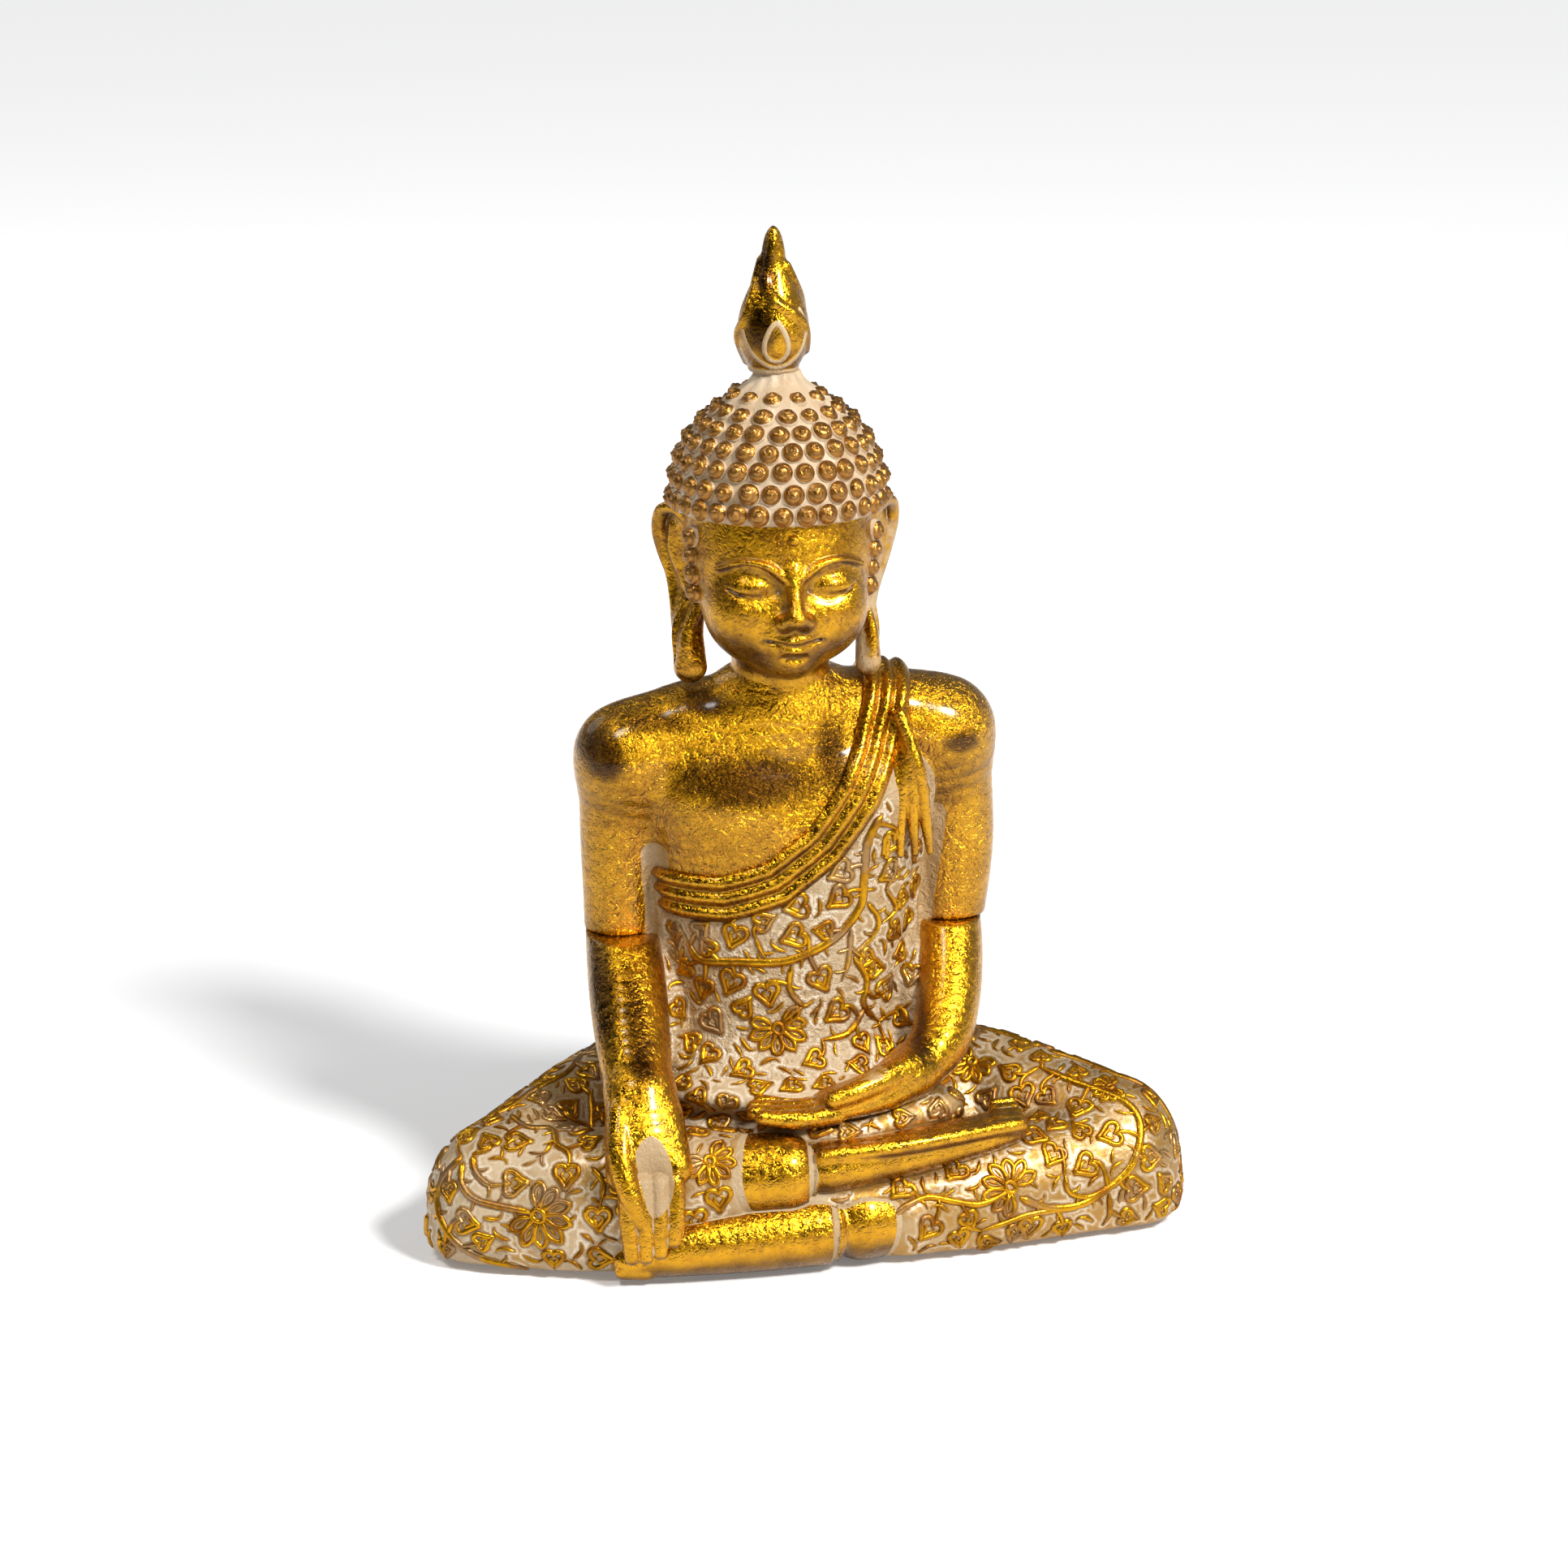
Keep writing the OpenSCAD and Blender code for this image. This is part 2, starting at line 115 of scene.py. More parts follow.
def ball(x, y, z, *radii):
    radii = radii * 3 if len(radii) == 1 else radii
    centre, radii = np.array([x, y, z], float), np.array(radii, float)

    def distance(p):
        off = p - centre
        length = np.sqrt((off ** 2).sum(axis=1))
        reach = np.sqrt(((off / radii) ** 2).sum(axis=1))
        return length - length / np.maximum(reach, 1e-6)
    return distance


def mirror(shape):
    return lambda p: shape(p * [-1, 1, 1])


def moved(shape, offset):
    return lambda p: shape(p - offset)


def blend_min(a, b, k):
    h = np.clip(0.5 + 0.5 * (b - a) / k, 0, 1)
    return b + (a - b) * h - k * h * (1 - h)


def union(k, *shapes):
    """Shapes joined with fillets about k wide."""
    def distance(p):
        found = shapes[0](p)
        for s in shapes[1:]:
            found = blend_min(found, s(p), k)
        return found
    return distance


def cut(k, shape, *tools):
    def distance(p):
        found = shape(p)
        for t in tools:
            found = -blend_min(-found, t(p), k)
        return found
    return distance


def below(z):
    return lambda p: p[:, 2] - z


def above(z):
    return lambda p: z - p[:, 2]


def step_mask(value, width):
    """0 where value is well below zero, 1 where it is well above, over a band of that width."""
    t = np.clip(value / width + 0.5, 0, 1)
    return t * t * (3 - 2 * t)


# ---- Meshes from distance functions ----

CORNERS = np.array([[i, j, k] for i in (0, 1) for j in (0, 1) for k in (0, 1)])
EDGES = [(a, b) for a in range(8) for b in range(a + 1, 8) if np.abs(CORNERS[a] - CORNERS[b]).sum() == 1]
BLOCK = 4
CHUNK = 300_000


def in_chunks(shape, p):
    return np.concatenate([shape(p[i:i + CHUNK]) for i in range(0, len(p), CHUNK)])


def sample(shape, low, high, cell):
    """Values of a shape on a grid, exact near its surface only."""
    blocks = np.ceil((np.array(high) - low) / (cell * BLOCK)).astype(int)
    index = np.stack(np.meshgrid(*[np.arange(n) for n in blocks], indexing="ij"), axis=-1).reshape(-1, 3)
    middle = low + (index * BLOCK + (BLOCK - 1) / 2) * cell
    coarse = in_chunks(shape, middle)
    values = np.repeat(np.repeat(np.repeat(coarse.reshape(blocks), BLOCK, 0), BLOCK, 1), BLOCK, 2)
    near = index[np.abs(coarse) < 1.5 * BLOCK * cell]
    step = np.stack(np.meshgrid(*[np.arange(BLOCK)] * 3, indexing="ij"), axis=-1).reshape(-1, 3)
    fine = (near[:, None, :] * BLOCK + step[None]).reshape(-1, 3)
    values[tuple(fine.T)] = in_chunks(shape, low + fine * cell)
    return values


def surface_net(shape, low, high, cell):
    """Points and quads on a shape's surface."""
    low = np.array(low, float)
    values = sample(shape, low, high, cell)
    inside = values < 0
    n = np.array(values.shape) - 1
    count = np.zeros(n, np.int8)
    for c in CORNERS:
        count += inside[c[0]:c[0] + n[0], c[1]:c[1] + n[1], c[2]:c[2] + n[2]]
    mixed = (count > 0) & (count < 8)
    cells = np.argwhere(mixed)
    number = np.full(n, -1, np.int64)
    number[mixed] = np.arange(len(cells))
    corner = np.stack([values[tuple((cells + c).T)] for c in CORNERS], axis=1)
    total, crossings = np.zeros((len(cells), 3)), np.zeros(len(cells))
    for a, b in EDGES:
        va, vb = corner[:, a], corner[:, b]
        crossed = (va < 0) != (vb < 0)
        t = np.where(crossed, va / np.where(crossed, va - vb, 1), 0)
        total += (CORNERS[a] + t[:, None] * (CORNERS[b] - CORNERS[a])) * crossed[:, None]
        crossings += crossed
    points = low + (cells + total / crossings[:, None]) * cell
    quads = []
    for axis in range(3):
        unit = np.eye(3, dtype=int)
        u, v = unit[(axis + 1) % 3], unit[(axis + 2) % 3]
        first = [slice(0, -1) if i == axis else slice(1, -1) for i in range(3)]
        second = [slice(1, None) if i == axis else slice(1, -1) for i in range(3)]
        here, there = inside[tuple(first)], inside[tuple(second)]
        edge = np.argwhere(here != there)
        outward = here[tuple(edge.T)]
        edge = edge + 1 - unit[axis]
        ring = np.stack([number[tuple((edge - s).T)] for s in (u + v, v, 0 * u, u)], axis=1)
        quads.append(np.where(outward[:, None], ring, ring[:, ::-1]))
    return points, np.vstack(quads)


def gradient(shape, p, step=0.08):
    g = np.stack([in_chunks(shape, p + d) - in_chunks(shape, p - d) for d in np.eye(3) * step], axis=1)
    return g / np.maximum(np.linalg.norm(g, axis=1), 1e-9)[:, None]


def solid(shape, low, high, cell):
    """Points, quads and normals, with the points moved onto the exact surface."""
    points, quads = surface_net(shape, low, high, cell)
    normals = gradient(shape, points)
    off = np.clip(in_chunks(shape, points), -cell, cell)
    return points - normals * off[:, None], quads, normals


def edges_of(quads):
    pairs = np.vstack([quads[:, [i, (i + 1) % 4]] for i in range(4)])
    return np.unique(np.sort(pairs, axis=1), axis=0)


def averaged(values, pairs, rounds):
    """Values smoothed along the edges of a mesh."""
    degree = np.bincount(pairs.ravel(), minlength=len(values)).astype(float)
    for _ in range(rounds):
        total = np.bincount(pairs[:, 0], values[pairs[:, 1]], len(values))
        total += np.bincount(pairs[:, 1], values[pairs[:, 0]], len(values))
        values = 0.5 * values + 0.5 * total / np.maximum(degree, 1)
    return values


NEAR_ROUNDS = 3
WIDE_ROUNDS = 50


def hollowness(points, quads, normals):
    """How hollow the surface is at each point, closely and broadly: about 1 in a hollow, -1 on a ridge."""
    pairs = edges_of(quads)
    total = np.zeros((len(points), 3))
    np.add.at(total, pairs[:, 0], points[pairs[:, 1]] - points[pairs[:, 0]])
    np.add.at(total, pairs[:, 1], points[pairs[:, 0]] - points[pairs[:, 1]])
    degree = np.bincount(pairs.ravel(), minlength=len(points))[:, None]
    length = np.linalg.norm(points[pairs[:, 0]] - points[pairs[:, 1]], axis=1).mean()
    bend = ((total / degree) * normals).sum(axis=1) / length ** 2
    near = averaged(bend, pairs, NEAR_ROUNDS)
    wide = averaged(near, pairs, WIDE_ROUNDS)
    return np.clip(near * 2.2, -1, 1), np.clip(wide * 6, -1, 1)


def make_piece(name, points, faces, body, nodes, slot, material, **masks):
    """A mesh object that rides on a body and stands for CAD nodes. Masks become point attributes."""
    mesh = bpy.data.meshes.new(name)
    faces = [np.asarray(f) for f in (faces if isinstance(faces, list) else [faces])]
    sizes = np.concatenate([np.full(len(f), f.shape[1]) for f in faces])
    corners = np.concatenate([f.ravel() for f in faces]).astype(np.int32)
    mesh.vertices.add(len(points))
    mesh.vertices.foreach_set("co", (points * MM).astype(np.float32).ravel())
    mesh.loops.add(len(corners))
    mesh.loops.foreach_set("vertex_index", corners)
    mesh.polygons.add(len(sizes))
    mesh.polygons.foreach_set("loop_start", np.concatenate([[0], np.cumsum(sizes)[:-1]]).astype(np.int32))
    mesh.update(calc_edges=True)
    mesh.validate()
    mesh.shade_smooth()
    for mask, values in masks.items():
        found = mesh.attributes.new(mask, "FLOAT", "POINT")
        found.data.foreach_set("value", np.asarray(values, np.float32))
    mesh.materials.append(material)
    piece = bpy.data.objects.new(name, mesh)
    bpy.context.scene.collection.objects.link(piece)
    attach(piece, body)
    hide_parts(*nodes)


# ---- The figure's forms ----

# Limbs and masses: rows of x, y, z and one radius or three, from one end to the other
LEFT_THIGH = [(34, 18.5, 24, 25, 24, 29), (64, 2, 21.5, 23.5, 23.5, 27.5), (97, -27, 18.5, 18, 18, 24)]
RIGHT_THIGH = [(-34, 18.5, 24, 25, 24, 29), (-60, 2, 20, 22, 23, 27), (-92, -28, 16.5, 17.5, 18, 21.5)]
HIPS = [(-34, 16, 24, 24, 23, 29), (0, 15, 24, 24, 23, 29), (34, 16, 24, 24, 23, 29)]
UPPER_SHIN = [(-92, -29, 15.5, 18, 18, 21.5), (-58, -43, 19.5, 18, 18, 22), (-26, -49, 26, 14, 13.5, 15)]
LOWER_SHIN = [(96, -30, 15.5, 18, 18, 21), (60, -41, 14, 17, 15.5, 19), (27, -50, 12.5, 13, 13, 14)]
RIGHT_SKIRT = [(-93, -31, 8, 18, 14, 12), (-70, -40, 9, 16, 16, 12), (-40, -46, 9, 14, 14, 12)]
LEFT_SKIRT = [(99, -33, 8, 16, 13, 11), (75, -37, 8, 14, 12, 11), (45, -43, 8, 12, 12, 11)]
LAP = [(-32, -8, 22, 23, 23, 26), (0, -16, 22, 30, 28, 25), (32, -8, 22, 23, 23, 26)]
TRUNK = [(0, -3, 47, 44, 31, 8), (0, -1, 58, 37, 24.5, 11), (0, -3, 76, 34, 21.5, 13),
         (0, -3, 100, 37, 22, 14), (0, -2, 124, 41, 23, 15), (0, 0, 142, 42, 19.5, 14),
         (-1, 0, 154, 30, 16, 10)]
RIGHT_SHOULDER = [(0, 1, 155, 26, 15, 11), (-27, 2, 151.5, 15, 14.5, 13), (-46.5, 3, 142, 14.5, 15, 14.4)]
LEFT_SHOULDER = [(0, 1, 155, 26, 15, 11), (29, 2, 153.5, 15, 14.5, 13), (47.5, 3, 146, 15, 15, 15)]
RIGHT_ARM = [(-46.5, 3, 142, 14.5, 15, 14.4), (-49.5, 4, 122, 11.7, 12, 12),
             (-49.6, 4, 100, 10.8, 11, 11), (-49.6, 4, 84, 10.4, 11, 11)]
LEFT_ARM = [(47.5, 3, 146, 15), (51.5, 4, 126, 12.6, 12, 12), (52.5, 4, 108, 11.8, 11.5, 11),
            (50.5, 4, 84, 10.8, 11, 11)]
WEB = [(40, 6, 130, 4, 5, 5), (39, 5, 114, 6, 6, 6), (38, 3, 88, 7.5, 8, 6), (39, -3, 68, 8, 12, 6),
       (40, -6, 54, 8, 15, 6)]
# The sash's middle line seen from the front, as x and z, from the left shoulder to the right side,
# and its line across the back
SASH_FRONT = [(31, 176), (30, 166), (28, 158), (24.5, 147), (18, 134), (8, 120), (-7, 108.5),
              (-22, 103.5), (-46, 103)]
SASH_BACK = [(31, 176), (30, 166), (28, 156), (23, 146), (10, 132), (-9, 118), (-27, 108), (-46, 104)]
SASH_HALF = 7
SASH_RIDGES = 3
ROBE_RISE = 0.9

left_leg = union(6, tube(LEFT_THIGH), tube(LOWER_SHIN), tube(LEFT_SKIRT))
right_leg = union(6, tube(RIGHT_THIGH), tube(UPPER_SHIN), tube(RIGHT_SKIRT))
legs = union(2.5, left_leg, right_leg)
lap_pad = tube([(-6, -42, 37, 9, 8, 5), (12, -44, 38, 12, 8, 5), (36, -36, 41, 12, 8, 6)])
foot_pad = tube([(-20, -53, 18.5, 12, 7.5, 4), (8, -53, 21, 14, 8, 4), (34, -51, 23, 14, 8, 4)])
waist_fillet = ball(0, -3, 45, 49, 37, 9)
seat_whole = union(5, union(8, legs, tube(HIPS), tube(LAP)), lap_pad, waist_fillet)
seat_whole = union(2, seat_whole, foot_pad)
trunk = union(9, tube(TRUNK), ball(18, -10, 131, 19, 12.5, 16), ball(-18, -10, 131, 19, 12.5, 16))
shoulders = union(6, tube(RIGHT_SHOULDER), tube(LEFT_SHOULDER))
arms = cut(0.7, union(1, tube(RIGHT_ARM), tube(LEFT_ARM)), below(ELBOW_Z))
webs = union(1, tube(WEB), mirror(tube(WEB)))
neck_root = tube([(-1.5, -1, 150, 20, 17, 8), (-2, -2, 166, 16, 15, 6)])
chest = union(6, trunk, shoulders)
torso_bare = union(3, union(8, chest, union(2, arms, neck_root)), webs)


def across_line(p, line):
    """Distance from a line in the XZ plane, with a sign that says on which side of it."""
    q, line = p[:, [0, 2]], np.array(line, float)
    best, side = np.full(len(q), 1e3), np.zeros(len(q))
    for a, b in zip(line, line[1:]):
        along = b - a
        t = np.clip(((q - a) @ along) / (along @ along), 0, 1)
        off = q - (a + t[:, None] * along)
        away = np.hypot(off[:, 0], off[:, 1])
        nearer = away < best
        best = np.where(nearer, away, best)
        side = np.where(nearer, np.sign(along[0] * off[:, 1] - along[1] * off[:, 0]), side)
    return best * side


def past_sash(p):
    """How far a point lies on the robe's side of the sash's middle line."""
    return np.where(p[:, 1] < 2, across_line(p, SASH_FRONT), across_line(p, SASH_BACK))


def robe_on_torso(p):
    """1 where the robe covers the trunk, 0 on bare skin."""
    beside = union(1, arms, shoulders)(p) - trunk(p)
    return step_mask(past_sash(p), 2) * step_mask(beside + 1, 2)


def torso_shape(p):
    return torso_bare(p) - ROBE_RISE * robe_on_torso(p)


def sash_shape(p):
    """Three ridged bands lying along the robe's upper edge."""
    across = past_sash(p)
    ridges = 0.5 + 0.5 * np.cos(across / SASH_HALF * SASH_RIDGES * math.pi)
    cloth = union(3, chest, neck_root)(p) - 1.5 - 1.4 * ridges ** 0.6
    return np.maximum(cloth, np.abs(across) - SASH_HALF)


def board_room(p):
    """The recess for the base board, from below."""
    outline = np.array([(-101, -36), (101, -36), (46, 32), (-46, 32)], float)
    found = p[:, 2] - BOARD_TOP
    for a, b in zip(outline, np.roll(outline, -1, axis=0)):
        out = np.array([(b - a)[1], -(b - a)[0]]) / np.linalg.norm(b - a)
        found = np.maximum(found, (p[:, :2] - a) @ out)
    return found


seat_shape = cut(0.5, cut(3, seat_whole, below(FLOOR_Z)), board_room)

# Feet: the lower one lies along the front edge, the upper one on the left thigh with its sole up
left_ankle = tube([(30, -47.5, 13, 13.5, 13.5, 12.5), (14, -53, 13, 12.4, 12, 12.2)])
left_sole = tube([(1, -56, 12, 10.5, 11.5, 11), (-18, -59.5, 11, 11, 8.5, 9.6),
                  (-42, -60, 9.6, 10, 7.5, 8), (-54, -58.5, 7, 7, 6.5, 5.6)])
right_ankle = tube([(-24, -50, 27, 12.5, 12.5, 13), (-9, -53, 28.5, 11.6, 11.6, 12)])
right_sole = union(1.2, tube([(4, -53, 30, 8, 9, 8), (24, -51, 31.5, 10, 8, 7), (46, -46, 33.5, 10, 8, 6),
                              (60, -42, 35, 6, 8, 4.8)]),
                   tube([(2, -58.5, 35, 2.6), (30, -57, 36.8, 2.4), (62, -49, 38.2, 2.2)]))


def toes(start, step, end, radius, length):
    """Five toes in a row."""
    start, step, end = [np.array(v, float) for v in (start, step, end)]
    rows = []
    for i in range(5):
        a = start + i * step
        r = radius * (1 - 0.09 * i)
        rows.append(tube([(*a, r), (*(a + end * length * (1 - 0.06 * i)), r * 0.86)], 2))
    return union(0.5, *rows)


left_toes = toes((-51, -62.5, 4), (0, 1.3, 1.9), (-1, 0.15, 0), 2.4, 7)
right_toes = toes((56, -49, 37), (0.4, 3.5, 0.7), (1, 0.15, 0.05), 2.7, 7)


def scored(shape, line, depth=0.9):
    """A shape with a shallow groove along a line."""
    return lambda p: np.maximum(shape(p), -np.maximum(line(p), -shape(p) - depth))


ankle_line = ball(4.5, -62, 14, 1, 16, 18)
heel_line = ball(-1.8, -60, 30, 1, 16, 18)
left_foot = scored(union(1.2, union(1.2, left_ankle, left_sole), left_toes), ankle_line)
left_foot = cut(0.8, left_foot, below(FLOOR_Z))
right_foot = scored(union(1.2, union(1.2, right_ankle, right_sole), right_toes), heel_line)

# Arms below the elbow seams
right_forearm = tube([(-49.5, 4, 91, 10.4, 11, 11), (-49.5, -6, 83, 11.3, 11, 11),
                      (-50, -20, 73, 11.6, 10.6, 10), (-50.4, -34, 62, 10.8, 9.5, 9),
                      (-50.2, -46, 53, 9.8, 8.2, 8)])
right_palm = tube([(-50.2, -46, 53, 9.8, 8.2, 8), (-50.6, -55, 44, 11.4, 6.6, 8),
                   (-50.8, -62, 34, 11.8, 5, 7)])
right_thumb = tube([(-56.5, -53, 50, 4.4), (-58.2, -61.5, 40, 4.1), (-56.6, -66.2, 31, 3.5),
                    (-53.6, -67.6, 23, 2.8), (-52.6, -67.9, 20.5, 2.3)])
right_heel = tube([(-43.5, -52, 48, 4.6), (-41.4, -61, 35, 4.2)])


def right_finger(i):
    """A hanging finger, from the forefinger to the little one. The fingers close up towards their tips."""
    knuckle = -56.9 + 4.75 * i
    tip = 11 + (0, 0, 1.2, 4.5)[i]
    return tube([(knuckle, -64.4, 32, 3), (-50.6 + (knuckle + 50.6) * 0.95, -67, 21, 2.8),
                 (-50.4 + (knuckle + 50.4) * 0.86, -68, tip, 2.3)], 4)


right_hand = cut(3, union(3, right_palm, right_heel), ball(-49.5, -70, 35, 7, 6.2, 12))
right_hand = union(0.45, union(0.6, right_hand, right_thumb), *[right_finger(i) for i in range(4)])
right_arm = union(4, right_forearm, right_hand)
left_forearm = tube([(50, 4, 91, 10.3, 11, 11), (49.5, -5, 80, 10.2, 10.8, 10.6),
                     (47, -17, 68, 9.6, 10, 9.8), (42, -28, 58, 8.8, 9, 8.6),
                     (32, -36, 51.5, 7.6, 8.4, 7)])
left_palm = tube([(32, -36, 51.5, 7.6, 8.4, 7), (21, -41, 48, 8.5, 9.5, 5.6), (9, -43.5, 46, 7.5, 9.6, 4.4)])
left_thumb = tube([(31, -40, 55, 4.6), (22, -46, 53.5, 4.2), (13, -50, 51.5, 3.4), (6, -51.6, 50, 2.9)])


def left_finger(i):
    """A finger of the hand in the lap, from the front one to the back one."""
    y = -50.6 + 4.5 * i
    tip = -16.5 + (1.6, 0, 0.5, 3)[i]
    return tube([(7, y, 45, 3), (-5, y - 0.6, 44.2, 2.9), (tip, y - 0.4, 45.4, 2.4)], 4)


left_hand = union(0.45, union(2.2, left_palm, left_thumb), *[left_finger(i) for i in range(4)])
left_arm = union(4, left_forearm, left_hand)


def below_seam(shape, z):
    """The part of a limb below a flat seam, with a soft edge."""
    return cut(0.7, shape, above(z))


def paired(k, shape):
    """A shape with its mirror image."""
    return union(k, shape, mirror(shape))


# Head, in its own frame: the face's middle line is at x = 0
skull = union(6, ball(0, 0, 221, 27.5), ball(0, -3, 206, 27.6, 26.5, 22), ball(0, -9, 192, 24, 20.5, 18))
jaw = union(7, skull, ball(0, -13, 184, 19, 16, 11.5), paired(1, ball(12.5, -18.5, 191, 9.4)),
            ball(0, -23.6, 177.6, 6))
brow = paired(1, tube([(3.4, -29.6, 202.8, 1), (8, -29.7, 206.2, 1), (14.5, -27.4, 207.2, 0.9),
                       (21.5, -21.4, 204.4, 0.7)]))
socket = paired(1, ball(10.8, -32.2, 199.6, 8, 5.6, 4.6))
lids = paired(1, ball(10.9, -22.2, 199.2, 7.4, 6.6, 4.4))
slit = paired(1, tube([(4.2, -28, 198, 0.5), (7.5, -29.2, 197, 0.75), (11.5, -29, 196.6, 0.8),
                       (15.4, -27, 197.3, 0.7), (18.8, -24, 198.8, 0.4)]))
nose = union(2.6, tube([(0, -29.4, 204, 1.6), (0, -31.8, 197.5, 2), (0, -35, 191.4, 3, 3, 2.8)]),
             paired(1, ball(3.3, -32.4, 189.8, 2.3)))
nostrils = paired(1, ball(1.7, -35, 188, 1))
muzzle = ball(0, -25.2, 184, 9.5, 6.4, 6.4)
upper_lip = tube([(-7, -28.6, 183.9, 0.7), (-3, -31.4, 184.7, 1.3), (0, -31.9, 184.3, 1.2),
                  (3, -31.4, 184.7, 1.3), (7, -28.6, 183.9, 0.7)])
lower_lip = tube([(-5.4, -29, 182.4, 0.8), (0, -31.3, 181.4, 1.8, 1.7, 1.5), (5.4, -29, 182.4, 0.8)])
mouth_line = tube([(-8.6, -28.6, 184.4, 0.5), (-3, -32.8, 183.3, 0.55), (0, -33.2, 182.9, 0.6),
                   (3, -32.8, 183.3, 0.55), (8.6, -28.6, 184.4, 0.5)])
under_lip = ball(0, -31.6, 178.9, 4, 1.7, 1.1)
neck = tube([(1.2, 2, 160, 16), (1, 1.5, 174, 14.6, 14.6, 8), (0, 4, 192, 18, 19, 10)])
face = union(6, cut(3.2, jaw, socket), neck)
face = union(1.8, face, lids)
face = union(3.2, union(1.6, face, brow), nose)
face = union(3.5, face, muzzle)
face = union(0.9, face, upper_lip, lower_lip)
face = cut(0.7, face, slit, nostrils, mouth_line)
face = cut(2, face, under_lip)
head_shape = moved(face, HEAD)

# The left ear, which is mirrored for the right one
ear_plate = tube([(33.4, 5.5, 213, 1.6, 5, 5), (33, 6, 204, 1.7, 5.4, 5), (30.8, 4, 194, 2, 4.8, 5),
                  (29, 1, 184, 3.4, 4.3, 5), (28.2, -2.5, 171, 3.8, 4.2, 5)])
helix = tube([(31.4, 0.5, 204, 1.1), (32.6, 0.4, 211, 1.4), (35.2, 3, 216.6, 1.7),
              (36.6, 8, 216, 1.8), (36.2, 11, 210, 1.7), (34.8, 11, 203, 1.6), (32.8, 8.6, 194, 1.5),
              (30.8, 5.4, 185, 1.5), (29.8, 2.4, 176, 1.6), (29.6, -1, 169.5, 1.7)])
antihelix = tube([(34.6, 6.4, 211, 1), (34.6, 6.8, 204, 1.1), (32.8, 4.4, 196.5, 1.1), (31.6, 1, 193.5, 1)])
tragus = tube([(30.6, -3, 202, 1.4), (31, -3.2, 196, 1.7), (30, -3.6, 188, 1.4), (29.4, -5.4, 178, 1.3),
               (29.4, -5, 170.5, 1.5)])
ear_hollow = tube([(35.8, 1.5, 207, 2, 2.6, 4), (35, 1, 199, 2, 2.6, 4)])
lobe_slit = tube([(31.8, -0.5, 188, 0.8, 1, 2), (31.6, -2, 174, 0.8, 1.1, 2)])
ear = cut(1, union(1.4, union(2, ear_plate, tragus), helix, antihelix), ear_hollow, lobe_slit)


def ear_turned(p):
    """The ear with its back edge standing out, seen more from the front."""
    upper = step_mask(p[:, 2] - 188, 20)
    return ear(np.stack([p[:, 0] + upper * (2.2 - 0.5 * (p[:, 1] - 3)), p[:, 1], p[:, 2]], axis=1))


def ear_wide(p):
    """The ear with a broader lobe that stands further out."""
    low = step_mask(190 - p[:, 2], 16)
    x = 29.5 + (p[:, 0] - 2.7 * low - 29.5) / (1 + 0.3 * low)
    return 0.85 * ear_turned(np.stack([x, p[:, 1], p[:, 2]], axis=1))


left_ear_shape = moved(ear_turned, HEAD - [1.5, 0, 0])
right_ear_shape = moved(mirror(ear_wide), HEAD + [4.2, 0, 0])


def hair_cap_shape(p):
    """The dome under the curls, lower behind the ears than over the forehead."""
    toward_back = step_mask(p[:, 1] - HEAD[1] - 9, 14)
    rim = 217.5 - 24.5 * toward_back
    return -blend_min(-ball(*DOME, CAP_R)(p), p[:, 2] - rim, 0.8)


# ---- The flame on the crown ----

FLAME_AXIS = np.array([-4.0, -4.0])
# Share of the height against share of the largest radius
FLAME_OUTLINE = smooth_rows([(0, 0.62), (0.05, 0.76), (0.17, 0.97), (0.3, 1), (0.41, 0.93),
                             (0.52, 0.77), (0.63, 0.56), (0.74, 0.38), (0.85, 0.31), (0.94, 0.22),
                             (0.985, 0.1), (1, 0.02)], 6)


def flame_radius(share):
    return FLAME_R * np.interp(share, FLAME_OUTLINE[:, 0], FLAME_OUTLINE[:, 1])


def on_flame(angle, share, sunk=0.0):
    """A point of the flame's surface. Angle 0 is the front, and 90 its left side."""
    r = float(flame_radius(share)) - sunk
    a = math.radians(angle)
    return FLAME_AXIS[0] + r * math.sin(a), FLAME_AXIS[1] - r * math.cos(a), CROWN_Z + share * FLAME_H


def flame_line(radius, *marks):
    """A raised line on the flame through marks of an angle and a share of its height."""
    return tube([(*on_flame(angle, share, 0.25), radius) for angle, share in marks], 6)


def flame_body(p):
    share = (p[:, 2] - CROWN_Z) / FLAME_H
    r = np.hypot(p[:, 0] - FLAME_AXIS[0], p[:, 1] - FLAME_AXIS[1])
    ends = np.maximum(p[:, 2] - CROWN_Z - FLAME_H, CROWN_Z - p[:, 2])
    return np.maximum(0.85 * (r - flame_radius(share)), ends)


tear = [(-4 + 17 * math.sin(t) * (1.1 + 0.4 * math.cos(t)), 0.225 - 0.135 * math.cos(t))
        for t in np.linspace(0, 2 * math.pi, 13)]
tear_loop = flame_line(0.6, *tear)
outer_loop = flame_line(0.6, (-72, 0.36), (-58, 0.22), (-42, 0.12), (-18, 0.055), (8, 0.05),
                        (32, 0.1), (48, 0.21), (54, 0.33), (45, 0.44))
front_ridge = flame_line(1.1, (-5, 0.97), (-16, 0.86), (-34, 0.73), (-30, 0.61), (0, 0.49),
                         (34, 0.4), (58, 0.3), (78, 0.14))
left_tongue = flame_line(1.4, (-88, 0.76), (-76, 0.66), (-60, 0.52), (-64, 0.38), (-92, 0.24),
                         (-110, 0.06))
right_tongue = flame_line(1.4, (70, 0.72), (84, 0.62), (104, 0.48), (116, 0.3), (112, 0.08))
back_ridge = flame_line(1.2, (178, 0.95), (164, 0.8), (196, 0.62), (176, 0.44), (150, 0.3), (160, 0.1))
flame_rim = flame_line(0.8, *[(a, 0.012) for a in range(0, 361, 30)])
